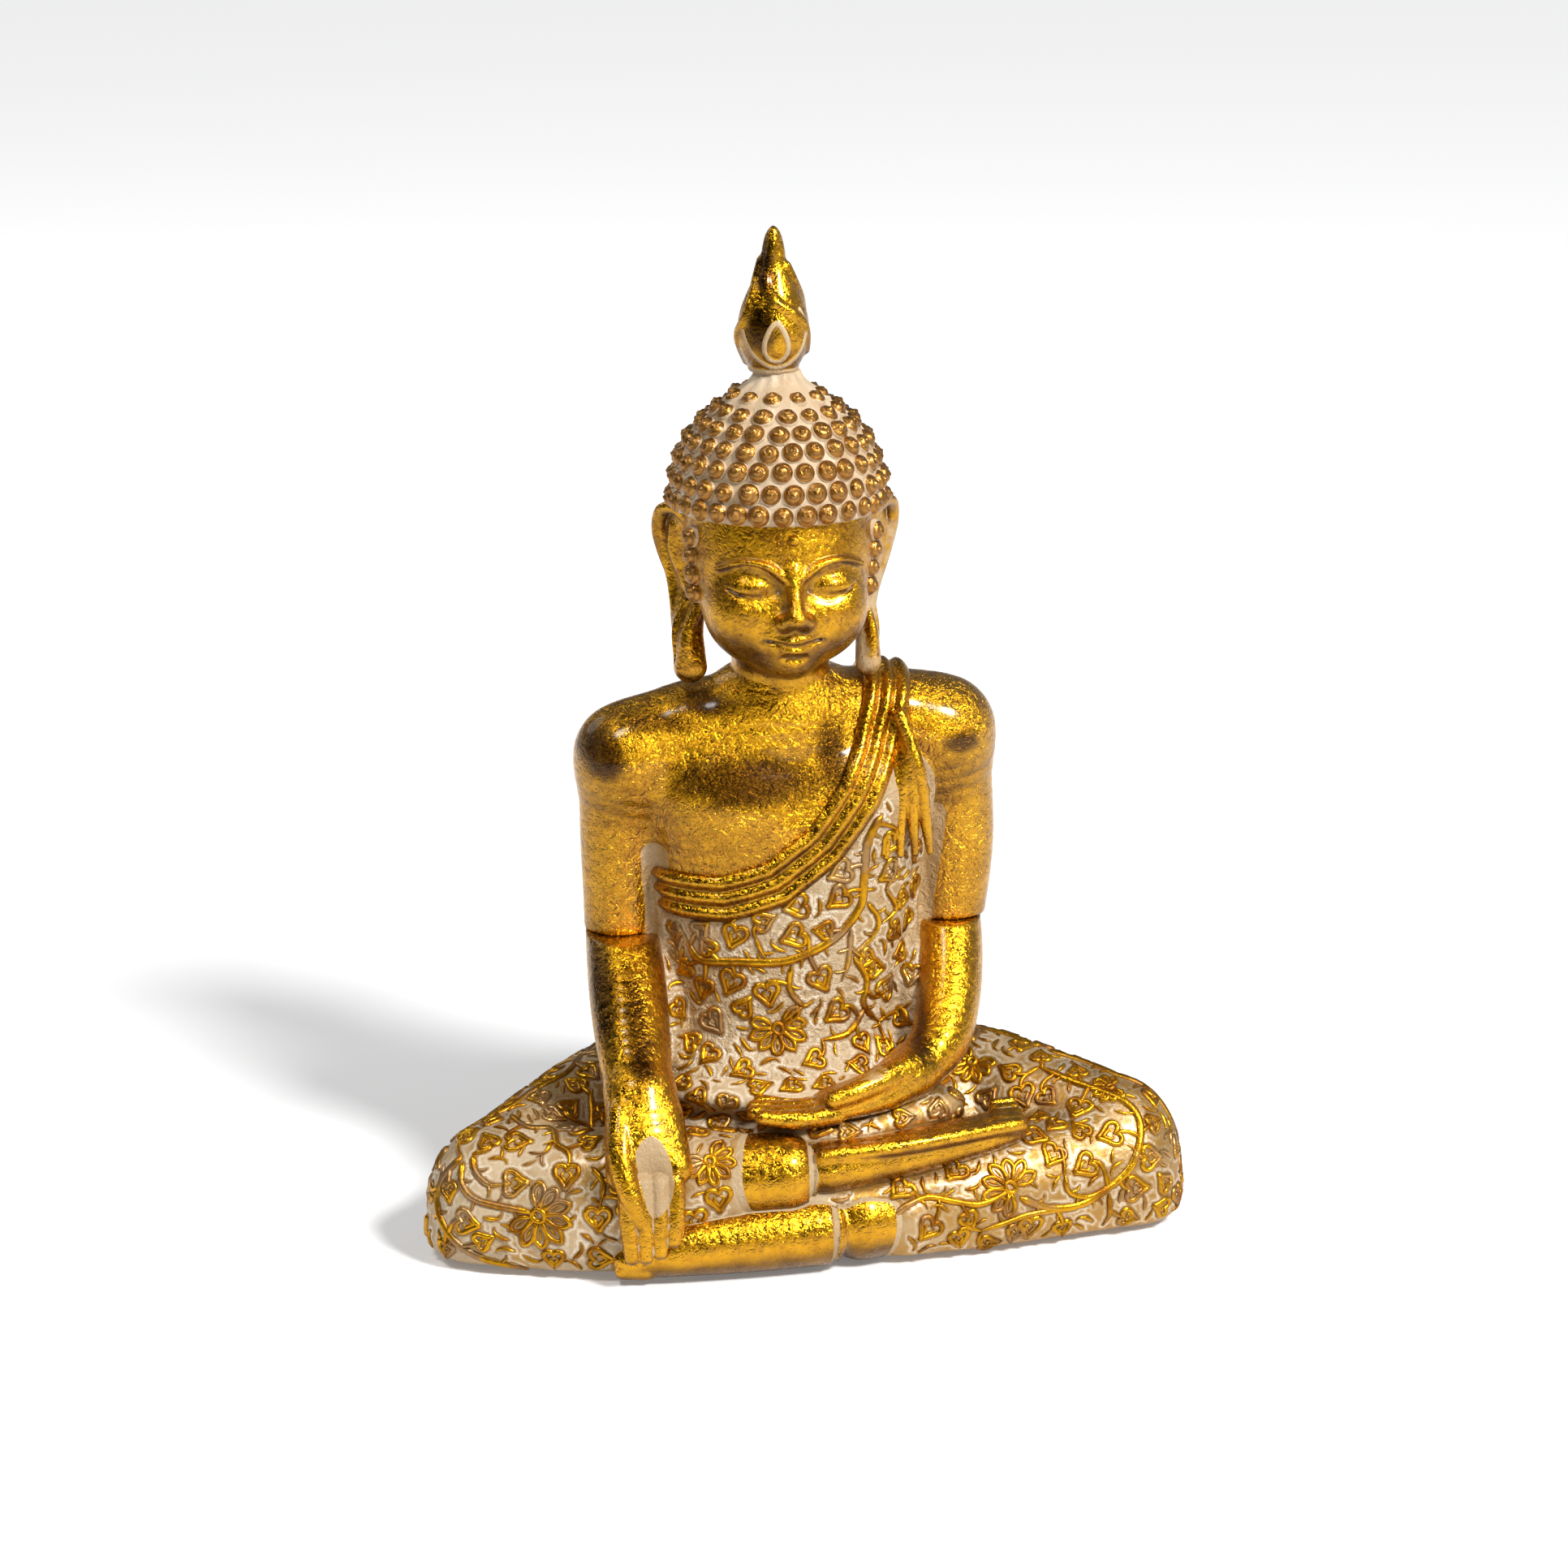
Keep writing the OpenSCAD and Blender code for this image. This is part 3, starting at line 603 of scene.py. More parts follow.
flame_lines = union(0.5, tear_loop, outer_loop, flame_rim)
flame_tongues = union(1.4, flame_body, front_ridge, left_tongue, right_tongue, back_ridge)
flame_shape = union(0.7, flame_tongues, flame_lines)


# ---- Materials ----

GOLD = (0.62, 0.305, 0.009)
DEEP_GOLD = (0.27, 0.1, 0.006)
SHADE_GOLD = (0.055, 0.019, 0.001)
# Near black: grime in narrow hollows and pits, and painted shade in broad hollows.
GRIME_AND_SHADE = (0.02, 0.008, 0.002)
CREAM = (0.44, 0.325, 0.19)
PALE_CREAM = (0.58, 0.47, 0.33)
# Brown stains, and painted shade on the cream beside raised lines and on faces turned down.
STAIN_AND_SHADE = (0.3, 0.17, 0.055)
# Pale ring beside raised lines: whitewash and painted highlight.
WASH_AND_HIGHLIGHT = (0.8, 0.72, 0.58)
OCHRE = (0.38, 0.2, 0.03)
# Painted shade along the feet of raised lines.
LINE_FOOT_SHADE = (0.09, 0.04, 0.01)
HAIR_GOLD = (0.34, 0.16, 0.03)


class Shading:
    """A Principled material, built up from textures in object space."""

    def __init__(self, name):
        self.material = bpy.data.materials.new(name)
        self.material.use_nodes = True
        self.tree = self.material.node_tree
        self.surface = self.tree.nodes["Principled BSDF"]
        self.place = self.add("ShaderNodeTexCoord").outputs["Object"]

    def put(self, socket, value):
        if isinstance(value, bpy.types.NodeSocket):
            self.tree.links.new(value, socket)
        elif isinstance(value, tuple) and len(value) == 3 and socket.type == "RGBA":
            socket.default_value = (*value, 1)
        else:
            socket.default_value = value

    def add(self, kind, inputs=None, **settings):
        node = self.tree.nodes.new(kind)
        for name, value in settings.items():
            setattr(node, name, value)
        for name, value in (inputs or {}).items():
            self.put(node.inputs[name], value)
        return node

    def noise(self, scale, detail=2.0, roughness=0.5, distortion=0.0):
        inputs = {"Vector": self.place, "Scale": scale, "Detail": detail, "Roughness": roughness,
                  "Distortion": distortion}
        return self.add("ShaderNodeTexNoise", inputs).outputs["Fac"]

    def ramp(self, value, low, high, start=0.0, end=1.0):
        """Runs smoothly from start where the value is low, to end where it is high."""
        inputs = {"Value": value, "From Min": low, "From Max": high, "To Min": start, "To Max": end}
        return self.add("ShaderNodeMapRange", inputs, interpolation_type="SMOOTHSTEP").outputs["Result"]

    def maths(self, operation, a, b):
        return self.add("ShaderNodeMath", {0: a, 1: b}, operation=operation).outputs["Value"]

    def times(self, a, b):
        return self.maths("MULTIPLY", a, b)

    def plus(self, a, b):
        return self.maths("ADD", a, b)

    def less(self, a, b):
        return self.maths("SUBTRACT", a, b)

    def mix(self, share, a, b):
        """Colour a where share is 0, and b where it is 1. The node's colour sockets go by number."""
        node = self.add("ShaderNodeMix", data_type="RGBA")
        for index, value in ((0, share), (6, a), (7, b)):
            self.put(node.inputs[index], value)
        return node.outputs[2]

    def attribute(self, name):
        return self.add("ShaderNodeAttribute", attribute_name=name).outputs["Fac"]

    def bump(self, height, strength, distance):
        node = self.add("ShaderNodeBump", {"Height": height, "Strength": strength, "Distance": distance})
        self.put(self.surface.inputs["Normal"], node.outputs["Normal"])

    def finish(self, colour, metallic, roughness):
        self.put(self.surface.inputs["Base Color"], colour)
        self.put(self.surface.inputs["Metallic"], metallic)
        self.put(self.surface.inputs["Roughness"], roughness)
        return self.material


def plain(name, colour, metallic, roughness):
    """A simple material with a little variation."""
    m = Shading(name)
    darker = tuple(0.8 * c for c in colour)
    return m.finish(m.mix(m.noise(60, 3), darker, colour), metallic, roughness)


def gilded(name, washes, grime=(0.12, 0.7, 0.8), specks=0.5, crinkle=0.45, edges=False, tinted=0.0,
           mottle=0.4, bright=GOLD, dull=0.0, grain_scale=480, cream=CREAM, gloss=0.25):
    """Gold leaf over a casting, with a cream wash where the named masks are high.

    Each wash is a mask's name with the values where it starts and is full. Grime lies in the narrow hollows,
    and is where it starts, where it is full, and its strength. Broad hollows and faces turned down get
    painted shade, and painted dark reflections lie on the front."""
    m = Shading(name)
    patch = m.noise(95, 4, 0.6)
    broad = m.noise(24, 2)
    grain = m.noise(grain_scale, 3, 0.55, 0.9)
    fine = m.noise(1500, 2)
    hollow = m.attribute("hollow")
    colour = m.mix(m.ramp(patch, 0.38, 0.7, 0.0, 0.8 * mottle), bright, DEEP_GOLD)
    colour = m.mix(m.times(m.ramp(m.noise(330, 6, 0.75), 0.45, 0.68), mottle), colour, DEEP_GOLD)
    # Painted shade on faces turned down and painted dark reflections on the front, with random darker
    # patches mixed in.
    under = m.attribute("under")
    shaded = m.ramp(m.plus(under, m.times(m.less(patch, 0.5), 0.5)), 0.1, 0.95)
    colour = m.mix(m.times(shaded, 0.95), colour, SHADE_GOLD)
    # Painted shade in the broad hollows, with grime in the narrow ones.
    broad_hollow_shade = m.times(m.ramp(m.attribute("dell"), 0.1, 0.8), 0.75)
    grime_and_shade = m.maths("MAXIMUM", m.times(m.ramp(hollow, grime[0], grime[1]), grime[2]), broad_hollow_shade)
    colour = m.mix(grime_and_shade, colour, GRIME_AND_SHADE)
    pits = m.times(m.ramp(m.noise(800, 3, 0.7), 0.6, 0.68), m.ramp(patch, 0.4, 0.6, 0.25, 1.0))
    pits = m.times(pits, specks)
    colour = m.mix(pits, colour, GRIME_AND_SHADE)
    metallic = m.less(1.0, m.times(m.plus(grime_and_shade, pits), 0.75))
    roughness = m.ramp(grain, 0.3, 0.7, 0.15 + dull, 0.34 + dull)
    roughness = m.plus(roughness, m.times(m.plus(pits, grime_and_shade), 0.3))
    if washes:
        wash = 0.0
        for mask, low, high in washes:
            wash = m.plus(wash, m.ramp(m.attribute(mask), low, high))
        wash = m.ramp(m.plus(wash, m.times(m.less(patch, 0.5), 1.3)), 0.36, 0.64)
        ground = m.mix(m.ramp(broad, 0.4, 0.62, 0.0, 0.5), cream, STAIN_AND_SHADE)
        # Painted shade on the cream on faces turned down.
        ground = m.mix(m.times(under, 0.5), ground, STAIN_AND_SHADE)
        ground = m.mix(m.ramp(patch, 0.5, 0.72, 0.0, 0.6), ground, STAIN_AND_SHADE)
        ochre = m.plus(m.plus(broad, m.times(patch, 0.4)), m.times(m.attribute("ochre"), 0.14))
        kept = m.times(m.ramp(ochre, 0.6, 0.85), tinted)
        ground = m.mix(kept, ground, OCHRE)
        # Beside raised lines: a pale ring of whitewash and painted highlight, and painted shade right at
        # their feet.
        if edges:
            beside = m.attribute("edge")
            ring = m.times(m.times(beside, m.less(1.0, beside)), 4.0)
            ground = m.mix(m.times(ring, m.ramp(patch, 0.4, 0.6, 0.1, 0.6)), ground, WASH_AND_HIGHLIGHT)
            ground = m.mix(m.ramp(beside, 0.55, 0.95, 0.0, 0.75), ground, STAIN_AND_SHADE)
        ground = m.mix(m.times(m.ramp(m.noise(700, 3, 0.7), 0.62, 0.7), 0.5), ground, STAIN_AND_SHADE)
        colour = m.mix(wash, colour, ground)
        metallic = m.times(metallic, m.less(1.0, m.times(wash, m.less(1.0, kept))))
        roughness = m.plus(roughness, m.times(wash, 0.28))
    m.bump(m.plus(m.times(grain, 0.75), m.times(fine, 0.25)), crinkle, 0.0016)
    m.put(m.surface.inputs["Coat Weight"], m.times(metallic, gloss))
    m.surface.inputs["Coat Roughness"].default_value = 0.15
    return m.finish(colour, metallic, roughness)


def relief_gold():
    """Gold on the raised lines, with painted shade along their feet and on faces turned down."""
    m = Shading("relief_gold")
    patch = m.noise(120, 4, 0.6)
    rise = m.attribute("height")
    colour = m.mix(m.ramp(patch, 0.35, 0.65), GOLD, DEEP_GOLD)
    colour = m.mix(m.times(m.ramp(m.noise(60, 2), 0.52, 0.68), 0.5), colour, CREAM)
    # Painted shade on faces turned down.
    colour = m.mix(m.times(m.attribute("under"), 0.6), colour, SHADE_GOLD)
    # Painted shade along the lines' feet.
    foot = m.ramp(m.plus(rise, m.times(m.less(patch, 0.5), 0.7)), 0.5, 0.1)
    foot = m.times(foot, 0.75)
    colour = m.mix(foot, colour, LINE_FOOT_SHADE)
    m.bump(m.noise(520, 3, 0.55, 0.8), 0.4, 0.0006)
    return m.finish(colour, m.less(0.95, m.times(foot, 0.8)), m.ramp(patch, 0.3, 0.7, 0.28, 0.48))


gold = gilded("gold_leaf", [("hollow", 0.5, 1.0)], specks=1.0, mottle=0.75, dull=0.08)
gold_ear = gilded("gold_ear", [("hollow", 0.5, 1.0), ("wash", 0.3, 0.8)], specks=0.8, mottle=0.9, dull=0.04)
gold_worn = gilded("gold_leaf_washed", [("hollow", 0.25, 0.6), ("wash", 0.3, 0.8)], grime=(0.1, 0.5, 0.5))
gold_cloth = gilded("gold_cloth", [("hollow", 0.9, 1.2)], grime=(0.3, 0.95, 0.5), specks=0.6)
torso_skin = gilded("torso_gold", [("cover", 0.3, 0.7)], grime=(0.2, 0.8, 0.8), crinkle=1.0, edges=True,
                    tinted=0.3, grain_scale=400, gloss=0.3)
robe = gilded("robe_wash", [("cover", 0.2, 0.8)], specks=0.3, crinkle=0.25, edges=True, tinted=0.85)
hair = gilded("hair_wash", [("ground", 0.35, 0.75)], grime=(0.15, 0.7, 0.5), specks=0.4, crinkle=0.4,
              bright=HAIR_GOLD, dull=0.12, cream=PALE_CREAM)
collar_wash = gilded("collar_wash", [("ground", 0.2, 0.6)], specks=0.3, crinkle=0.3, cream=PALE_CREAM)
vine_gold = relief_gold()


# ---- Pieces ----

def underneath(normals):
    """Painted shade, high on faces turned down."""
    return 0.7 * np.clip((0.12 - normals[:, 2]) / 0.6, 0, 1)


# Painted dark reflections on the front: middle x and z, half width, half height and strength
PAINTED_DARK_REFLECTIONS = ((-14, 139, 24, 9, 1), (-56, 146, 8, 9, 1), (-40, 155, 14, 4, 0.8), (-24, 160, 12, 4, 0.8),
         (11, 146, 6, 13, 0.9), (51, 146, 7, 4, 0.9), (-50, 69, 5, 17, 0.9), (-58, 78, 5, 17, 0.8),
         (34, 66, 6, 14, 0.9), (-7, 288, 4, 12, 0.9), (-9, 271, 5, 10, 0.9))


def painted_dark_reflection_mask(p, normals):
    """1 where dark reflections are painted on the front of the chest, the arms and the flame."""
    found = np.zeros(len(p))
    for x, z, half_width, half_height, share in PAINTED_DARK_REFLECTIONS:
        away = ((p[:, 0] - x) / half_width) ** 2 + ((p[:, 2] - z) / half_height) ** 2
        found = np.maximum(found, share * np.exp(-away ** 1.5))
    return found * step_mask(-normals[:, 1], 0.4)


def form(name, shape, low, high, cell, node, slot, material, washed=None):
    """A piece on the statue's body, with its hollows and its washed parts marked."""
    points, quads, normals = solid(shape, low, high, cell)
    wash = washed(points) if washed else np.zeros(len(points))
    hollow, dell = hollowness(points, quads, normals)
    # The mask of painted shade on faces turned down and painted dark reflections on the front.
    make_piece(name, points, quads, "statue", [node], slot, material, hollow=hollow, dell=dell, wash=wash,
               under=np.maximum(underneath(normals), painted_dark_reflection_mask(points, normals)), ground=np.ones(len(points)))


def near(k, *shapes):
    """A mask that is 1 right beside any of the shapes, and a half at a distance of k."""
    return lambda p: np.max([step_mask(k - in_chunks(shape, p), k) for shape in shapes], axis=0)


def palm_wash(p):
    """The open palm is washed, but not the thumb across it; on the fingers only the gaps are."""
    palm = step_mask(-ball(-49.3, -68, 36, 6.5, 9, 14)(p), 6) * step_mask(right_thumb(p) - 0.3, 1)
    return 0.85 * palm * step_mask(p[:, 2] - 20, 14)


form("foot_left", left_foot, (-72, -75, -2), (50, -30, 30), 0.6, "left_foot", "gold_leaf", gold_worn,
     near(0.9, seat_shape, ankle_line, right_foot))
form("foot_right", right_foot, (-42, -75, 10), (80, -30, 50), 0.6, "right_foot", "gold_leaf", gold_worn,
     near(0.9, seat_shape, heel_line))
form("arm_right", below_seam(right_arm, ELBOW_Z), (-70, -76, 2), (-34, 22, 100), 0.6, "right_forearm",
     "gold_leaf", gold_worn, palm_wash)
form("arm_left", below_seam(left_arm, ELBOW_Z), (-26, -64, 34), (68, 22, 100), 0.6, "left_forearm",
     "gold_leaf", gold_worn, lambda p: 0.5 * step_mask(-ball(17, -47, 55, 9, 5, 4)(p), 3))
form("head", head_shape, (-40, -50, 156), (36, 34, 254), 0.6, "head_casting", "gold_leaf", gold)
form("ear_left", left_ear_shape, (18, -20, 160), (42, 16, 224), 0.45, "left_ear", "gold_leaf", gold_ear,
     lambda p: np.full(len(p), 0.55))
form("ear_right", right_ear_shape, (-48, -20, 160), (-22, 16, 224), 0.45, "right_ear", "gold_leaf", gold_ear,
     lambda p: np.full(len(p), 0.42))
form("hair_dome", hair_cap_shape, (-36, -38, 190), (30, 30, 254), 1, "hair_cap", "hair_wash", collar_wash)
form("urna", ball(-2.8, -33.4, 213.4, 1.7), (-6, -37, 210), (0, -30, 217), 0.3, "urna_bead",
     "gold_leaf", gold)


def turned(profile, segments, flutes, depth):
    """Points and quads of an upright turned shape round the head's axis, lightly fluted."""
    angles = np.linspace(0, 2 * math.pi, segments, endpoint=False)
    rings = []
    for r, z in profile:
        wavy = r * (1 + depth * np.cos(flutes * angles))
        rings.append(np.stack([DOME[0] + wavy * np.cos(angles), DOME[1] + wavy * np.sin(angles),
                               np.full(segments, float(z))], axis=1))
    i, j = np.meshgrid(np.arange(len(profile) - 1), np.arange(segments), indexing="ij")
    after = (j + 1) % segments
    quads = np.stack([i * segments + j, i * segments + after, (i + 1) * segments + after,
                      (i + 1) * segments + j], axis=-1)
    return np.vstack(rings), quads.reshape(-1, 4)


# Radius and height, from the foot of the flare to the middle of the top
collar_outline = smooth_rows([(17.6, 246), (15.8, 248.8), (13.4, 251), (10.8, 252.9), (8.8, 254.4),
                              (7.4, 256), (6.8, 257.3), (6.4, 257.9), (4, 258), (0.1, 258)], 4)
collar_points, collar_quads = turned(collar_outline, segments=96, flutes=13, depth=0.03)
make_piece("collar", collar_points, collar_quads, "statue", ["crown_collar"], "hair_wash", collar_wash,
           hollow=np.zeros(len(collar_points)), ground=np.ones(len(collar_points)))


# ---- Curls ----

CURL_RINGS = 10
CURL_SPOKES = 22
CURL_TURNS = 2.2


def curl(centre, out, radius, height, turn):
    """A pointed snail curl: points, faces, and how near the tip and how deep in the groove each point is."""
    out = out / np.linalg.norm(out)
    across = np.cross([0, 0, 1], out)
    across /= np.linalg.norm(across)
    up = np.cross(out, across)
    share = np.concatenate([[0], np.repeat(np.arange(1, CURL_RINGS + 1) / CURL_RINGS, CURL_SPOKES)])
    angle = np.concatenate([[0], np.tile(np.arange(CURL_SPOKES) * 2 * math.pi / CURL_SPOKES, CURL_RINGS)])
    groove = 0.5 - 0.5 * np.cos(angle + turn + CURL_TURNS * 2 * math.pi * share)
    groove = groove * np.clip(share * 5, 0, 1) * np.clip((1 - share) * 6, 0, 1)
    lift = height * (1 - share ** 2.4) + 0.3 * np.exp(-(share / 0.2) ** 2) - 0.32 * groove
    lift = lift - 1.0 * (share > 0.99)
    reach = radius * share * (1 + 0.05 * np.sin(angle + turn))
    points = centre + (np.outer(reach * np.cos(angle), across) + np.outer(reach * np.sin(angle), up)
                       + np.outer(lift, out))
    spoke = np.arange(CURL_SPOKES)
    after = (spoke + 1) % CURL_SPOKES
    tip = np.stack([np.zeros(CURL_SPOKES, int), 1 + spoke, 1 + after], axis=1)
    rings = [np.stack([1 + r * CURL_SPOKES + spoke, 1 + (r + 1) * CURL_SPOKES + spoke,
                       1 + (r + 1) * CURL_SPOKES + after, 1 + r * CURL_SPOKES + after], axis=1)
             for r in range(CURL_RINGS - 1)]
    return points, tip, np.vstack(rings), 1 - share, groove


def curl_row(name, places, node, paleness=0.0):
    """One row of curls as one piece. Places are centre, outward direction and radius."""
    points, tips, rings, near_tip, groove = [], [], [], [], []
    count = 0
    for centre, out, radius in places:
        size = radius * rng.uniform(0.93, 1.06)
        height, turn = size * rng.uniform(0.72, 0.88), rng.uniform(0, 6.3)
        made = curl(np.array(centre), np.array(out), size, height, turn)
        points.append(made[0])
        tips.append(made[1] + count)
        rings.append(made[2] + count)
        near_tip.append(made[3])
        groove.append(made[4])
        count += len(made[0])
    make_piece(name, np.vstack(points), [np.vstack(tips), np.vstack(rings)], "statue", [node], "hair_wash",
               hair, ground=paleness + step_mask(0.12 - np.concatenate(near_tip), 0.2),
               hollow=np.concatenate(groove) - 0.35)


def on_dome(down, around, r):
    """A point of the dome and its outward direction: down from the top, and round from +X, in degrees."""
    d, a = math.radians(down), math.radians(around)
    out = np.array([math.sin(d) * math.cos(a), math.sin(d) * math.sin(a), math.cos(d)])
    return DOME + out * r, out


CURL_R = 3.45
HAIRLINE = 91  # degrees down from the top of the dome
ROW_STEP = 11.28
ROW_COUNTS = (29, 28, 27, 24, 21, 16, 11)
ROW_PALENESS = (0.0, 0.0, 0.05, 0.1, 0.2, 0.35, 0.5)
for row, (count, paleness) in enumerate(zip(ROW_COUNTS, ROW_PALENESS), start=1):
    # Every other row is half a curl round, and the top row is raised 1 mm beside the collar's flare
    spread = [on_dome(HAIRLINE - ROW_STEP * (row - 1) + rng.uniform(-0.6, 0.6),
                      (i + (row % 2) / 2) * 360 / count - 90 + rng.uniform(-0.7, 0.7), CAP_R + (row > 6))
              for i in range(count)]
    curl_row(f"curls_{row}", [(*place, CURL_R) for place in spread], f"hair_curls_row_{row}", paleness)
nape = [(*on_dome(HAIRLINE + ROW_STEP * step, 90 + (i - (9 - step) / 2) * 360 / ROW_COUNTS[step],
                  CAP_R - 0.5), CURL_R)
        for step in (1, 2, 3) for i in range(10 - step)]
curl_row("curls_nape", nape, "nape_curls")
temple = [((HEAD[0] + side * (27.3 - 0.5 * i), HEAD[1] - 11 + i, 211.5 - 5.6 * i), (side, -0.75, 0), 3.4)
          for side in (-1, 1) for i in range(4)]
curl_row("curls_temple", temple, "temple_curls")

flame_points, flame_quads, flame_normals = solid(flame_shape, (-17, -17, 256), (9, 9, 301), 0.4)
# The flame's mask of painted shade on faces turned down and painted dark reflections on its front.
make_piece("flame", flame_points, flame_quads, "flame", ["flame_finial"], "gold_leaf", gold_worn,
           hollow=hollowness(flame_points, flame_quads, flame_normals)[0],
           under=np.maximum(underneath(flame_normals), painted_dark_reflection_mask(flame_points, flame_normals)),
           wash=0.75 * step_mask(0.35 - in_chunks(flame_lines, flame_points), 0.7))


# ---- Relief on the robe: raised vines with heart-shaped leaves and lotus flowers ----

def pleat(i):
    """One fold of the fan of cloth that hangs from the left shoulder."""
    return tube([(34 - 0.7 * i, -12 - 1.2 * i, 156, 2), (31 + 1.8 * i, -17.5 - i, 141, 2.1),
                 (28 + 3.6 * i, -20 + 0.3 * i, 127, 1.9), (27 + 4.6 * i, -20.5 + 1.2 * i, 114, 1)])


pleats = union(0.5, *[pleat(i) for i in range(4)])
seat_mesh = solid(seat_shape, (-120, -80, -2), (122, 56, 64), 0.9)
torso_mesh = solid(torso_shape, (-68, -44, 44), (72, 40, 174), 0.75)
STRIP_STEP = 0.85
WELL_CLEAR = 400
WAVE_LENGTH = 26
TRY_EVERY = 6
# A strip's cross-section: how far across, in half widths, and how high, in heights
SECTION = np.array([(-1.2, -0.5), (-0.8, 0.45), (0, 1), (0.8, 0.45), (1.2, -0.5)])


class Ground:
    """A surface that relief lies on."""

    def __init__(self, mesh, open_at):
        self.points, self.quads, self.normals = mesh
        self.tree = BVHTree.FromPolygons(self.points.tolist(), self.quads.tolist())
        self.is_open = open_at(self.points)
        self.lines = []
        self.taken = {}
        self.stems = []

    def nearest(self, p):
        place, _, face, _ = self.tree.find_nearest(Vector(p))
        corners = self.quads[face]
        normal = self.normals[corners].sum(axis=0)
        return np.array(place), normal / np.linalg.norm(normal), self.is_open[corners].all()

    def seen(self, right, up):
        """The surface point seen at a place in the picture plane, in millimetres."""
        hit = self.tree.ray_cast(Vector(ACROSS * right + RISE * up + BACK * WELL_CLEAR), Vector(-BACK))
        return None if hit[0] is None else np.array(hit[0])

    def cell(self, p):
        return tuple(np.floor(np.asarray(p) / 2).astype(int))

    def take(self, points):
        for p in points:
            self.taken.setdefault(self.cell(p), []).append(p)

    def is_free(self, p, room):
        reach = int(room // 2) + 1
        i, j, k = self.cell(p)
        for di in range(-reach, reach + 1):
            for dj in range(-reach, reach + 1):
                for dk in range(-reach, reach + 1):
                    for q in self.taken.get((i + di, j + dj, k + dk), ()):
                        if (q[0] - p[0]) ** 2 + (q[1] - p[1]) ** 2 + (q[2] - p[2]) ** 2 < room * room:
                            return False
        return True

    def lay(self, path, width, height=0.75, taper=(1, 1), closed=False):
        """A raised line along points, drawn onto the surface. A higher taper narrows that end for longer."""
        path = np.array(path, float)
        lengths = np.concatenate([[0], np.cumsum(np.linalg.norm(np.diff(path, axis=0), axis=1))])
        count = max(int(lengths[-1] / STRIP_STEP), 3)
        even = np.linspace(0, lengths[-1], count + 1)
        path = np.stack([np.interp(even, lengths, path[:, i]) for i in range(3)], axis=1)
        placed = [self.nearest(p) for p in path]
        points, normals = np.array([q[0] for q in placed]), np.array([q[1] for q in placed])
        share = even / even[-1]
        size = np.ones(len(points))
        if not closed:
            size = np.minimum(size, 0.3 + share * lengths[-1] / (2.4 * taper[0]))
            size = np.minimum(size, 0.3 + (1 - share) * lengths[-1] / (2.4 * taper[1]))
        half = 1.15 * width * size / 2
        tall = 1.2 * height * (0.4 + 0.6 * size)
        self.lines.append((points, normals, half, tall, closed))
        self.take(points)

    def grow(self, start, heading, length, bend, wave=0.0, room=0.0):
        """A path over the surface that turns by about bend, in radians a millimetre, and most at its end."""
        p, normal, _ = self.nearest(start)
        heading = np.array(heading, float)
        path = [p]
        step = 0.8
        for i in range(int(length / step)):
            share = i * step / length
            sway = wave * math.cos(2 * math.pi * i * step / WAVE_LENGTH)
            turn = (bend * (0.35 + 2.6 * share ** 3) + sway) * step
            heading = heading - normal * (heading @ normal)
            heading /= np.linalg.norm(heading)
            heading = heading * math.cos(turn) + np.cross(normal, heading) * math.sin(turn)
            p, normal, is_open = self.nearest(p + heading * step)
            if not is_open or (room and i > 4 and not self.is_free(p, room)):
                break
            path.append(p)
        return path, heading

    def sheet(self, start, heading):
        """Maps flat motifs onto the surface: a function from 2D points, the first axis along heading."""
        p, normal, _ = self.nearest(start)
        along = heading - normal * (heading @ normal)
        along = along / np.linalg.norm(along)
        across = np.cross(normal, along)
        return lambda flat: [p + along * a + across * b for a, b in flat]

    def heart(self, start, heading, size=3.6, width=1.5):
        """A heart-shaped leaf whose notch is at start and whose tip points along heading."""
        t = np.linspace(0, 2 * math.pi, 25)
        across = np.sin(t) ** 3
        along = -(13 * np.cos(t) - 5 * np.cos(2 * t) - 2 * np.cos(3 * t) - np.cos(4 * t)) / 16
        along = np.where(along > 0.4, 0.4 + (along - 0.4) * 1.45, along) + 0.4
        flat = self.sheet(start, heading)
        self.lay(flat(np.stack([along * size, across * size], axis=1)), width, closed=True)
        small = np.stack([along * size * 0.42 + 0.42 * size, across * size * 0.42], axis=1)
        self.lay(flat(small[3:-3]), width * 0.7, 0.5)
        self.take(flat([(0.6 * size, 0.0)]))

    def tie(self, start, heading, reach=13, width=1.25):
        """A curved stalk from a leaf's notch to the nearest stem, where there is one near enough."""
        if not self.stems:
            return
        places = np.vstack(self.stems)
        away = np.linalg.norm(places - start, axis=1)
        goal = places[int(np.argmin(away + 0.6 * np.clip((places - start) @ heading, 0, None)))]
        gap = float(np.linalg.norm(goal - start))
        if 1.5 < gap < reach:
            bent = start - heading / np.linalg.norm(heading) * gap * 0.55
            t = np.linspace(0, 1, 8)[:, None]
            self.lay((1 - t) ** 2 * start + 2 * t * (1 - t) * bent + t ** 2 * goal, width, 0.75, (0.5, 0.5))

    def lotus(self, start, heading, size=9.5, petals=8, fan=235, width=1.35):
        """A lotus seen from the side: petals that fan out from its base, round an oval."""
        flat = self.sheet(start, heading)

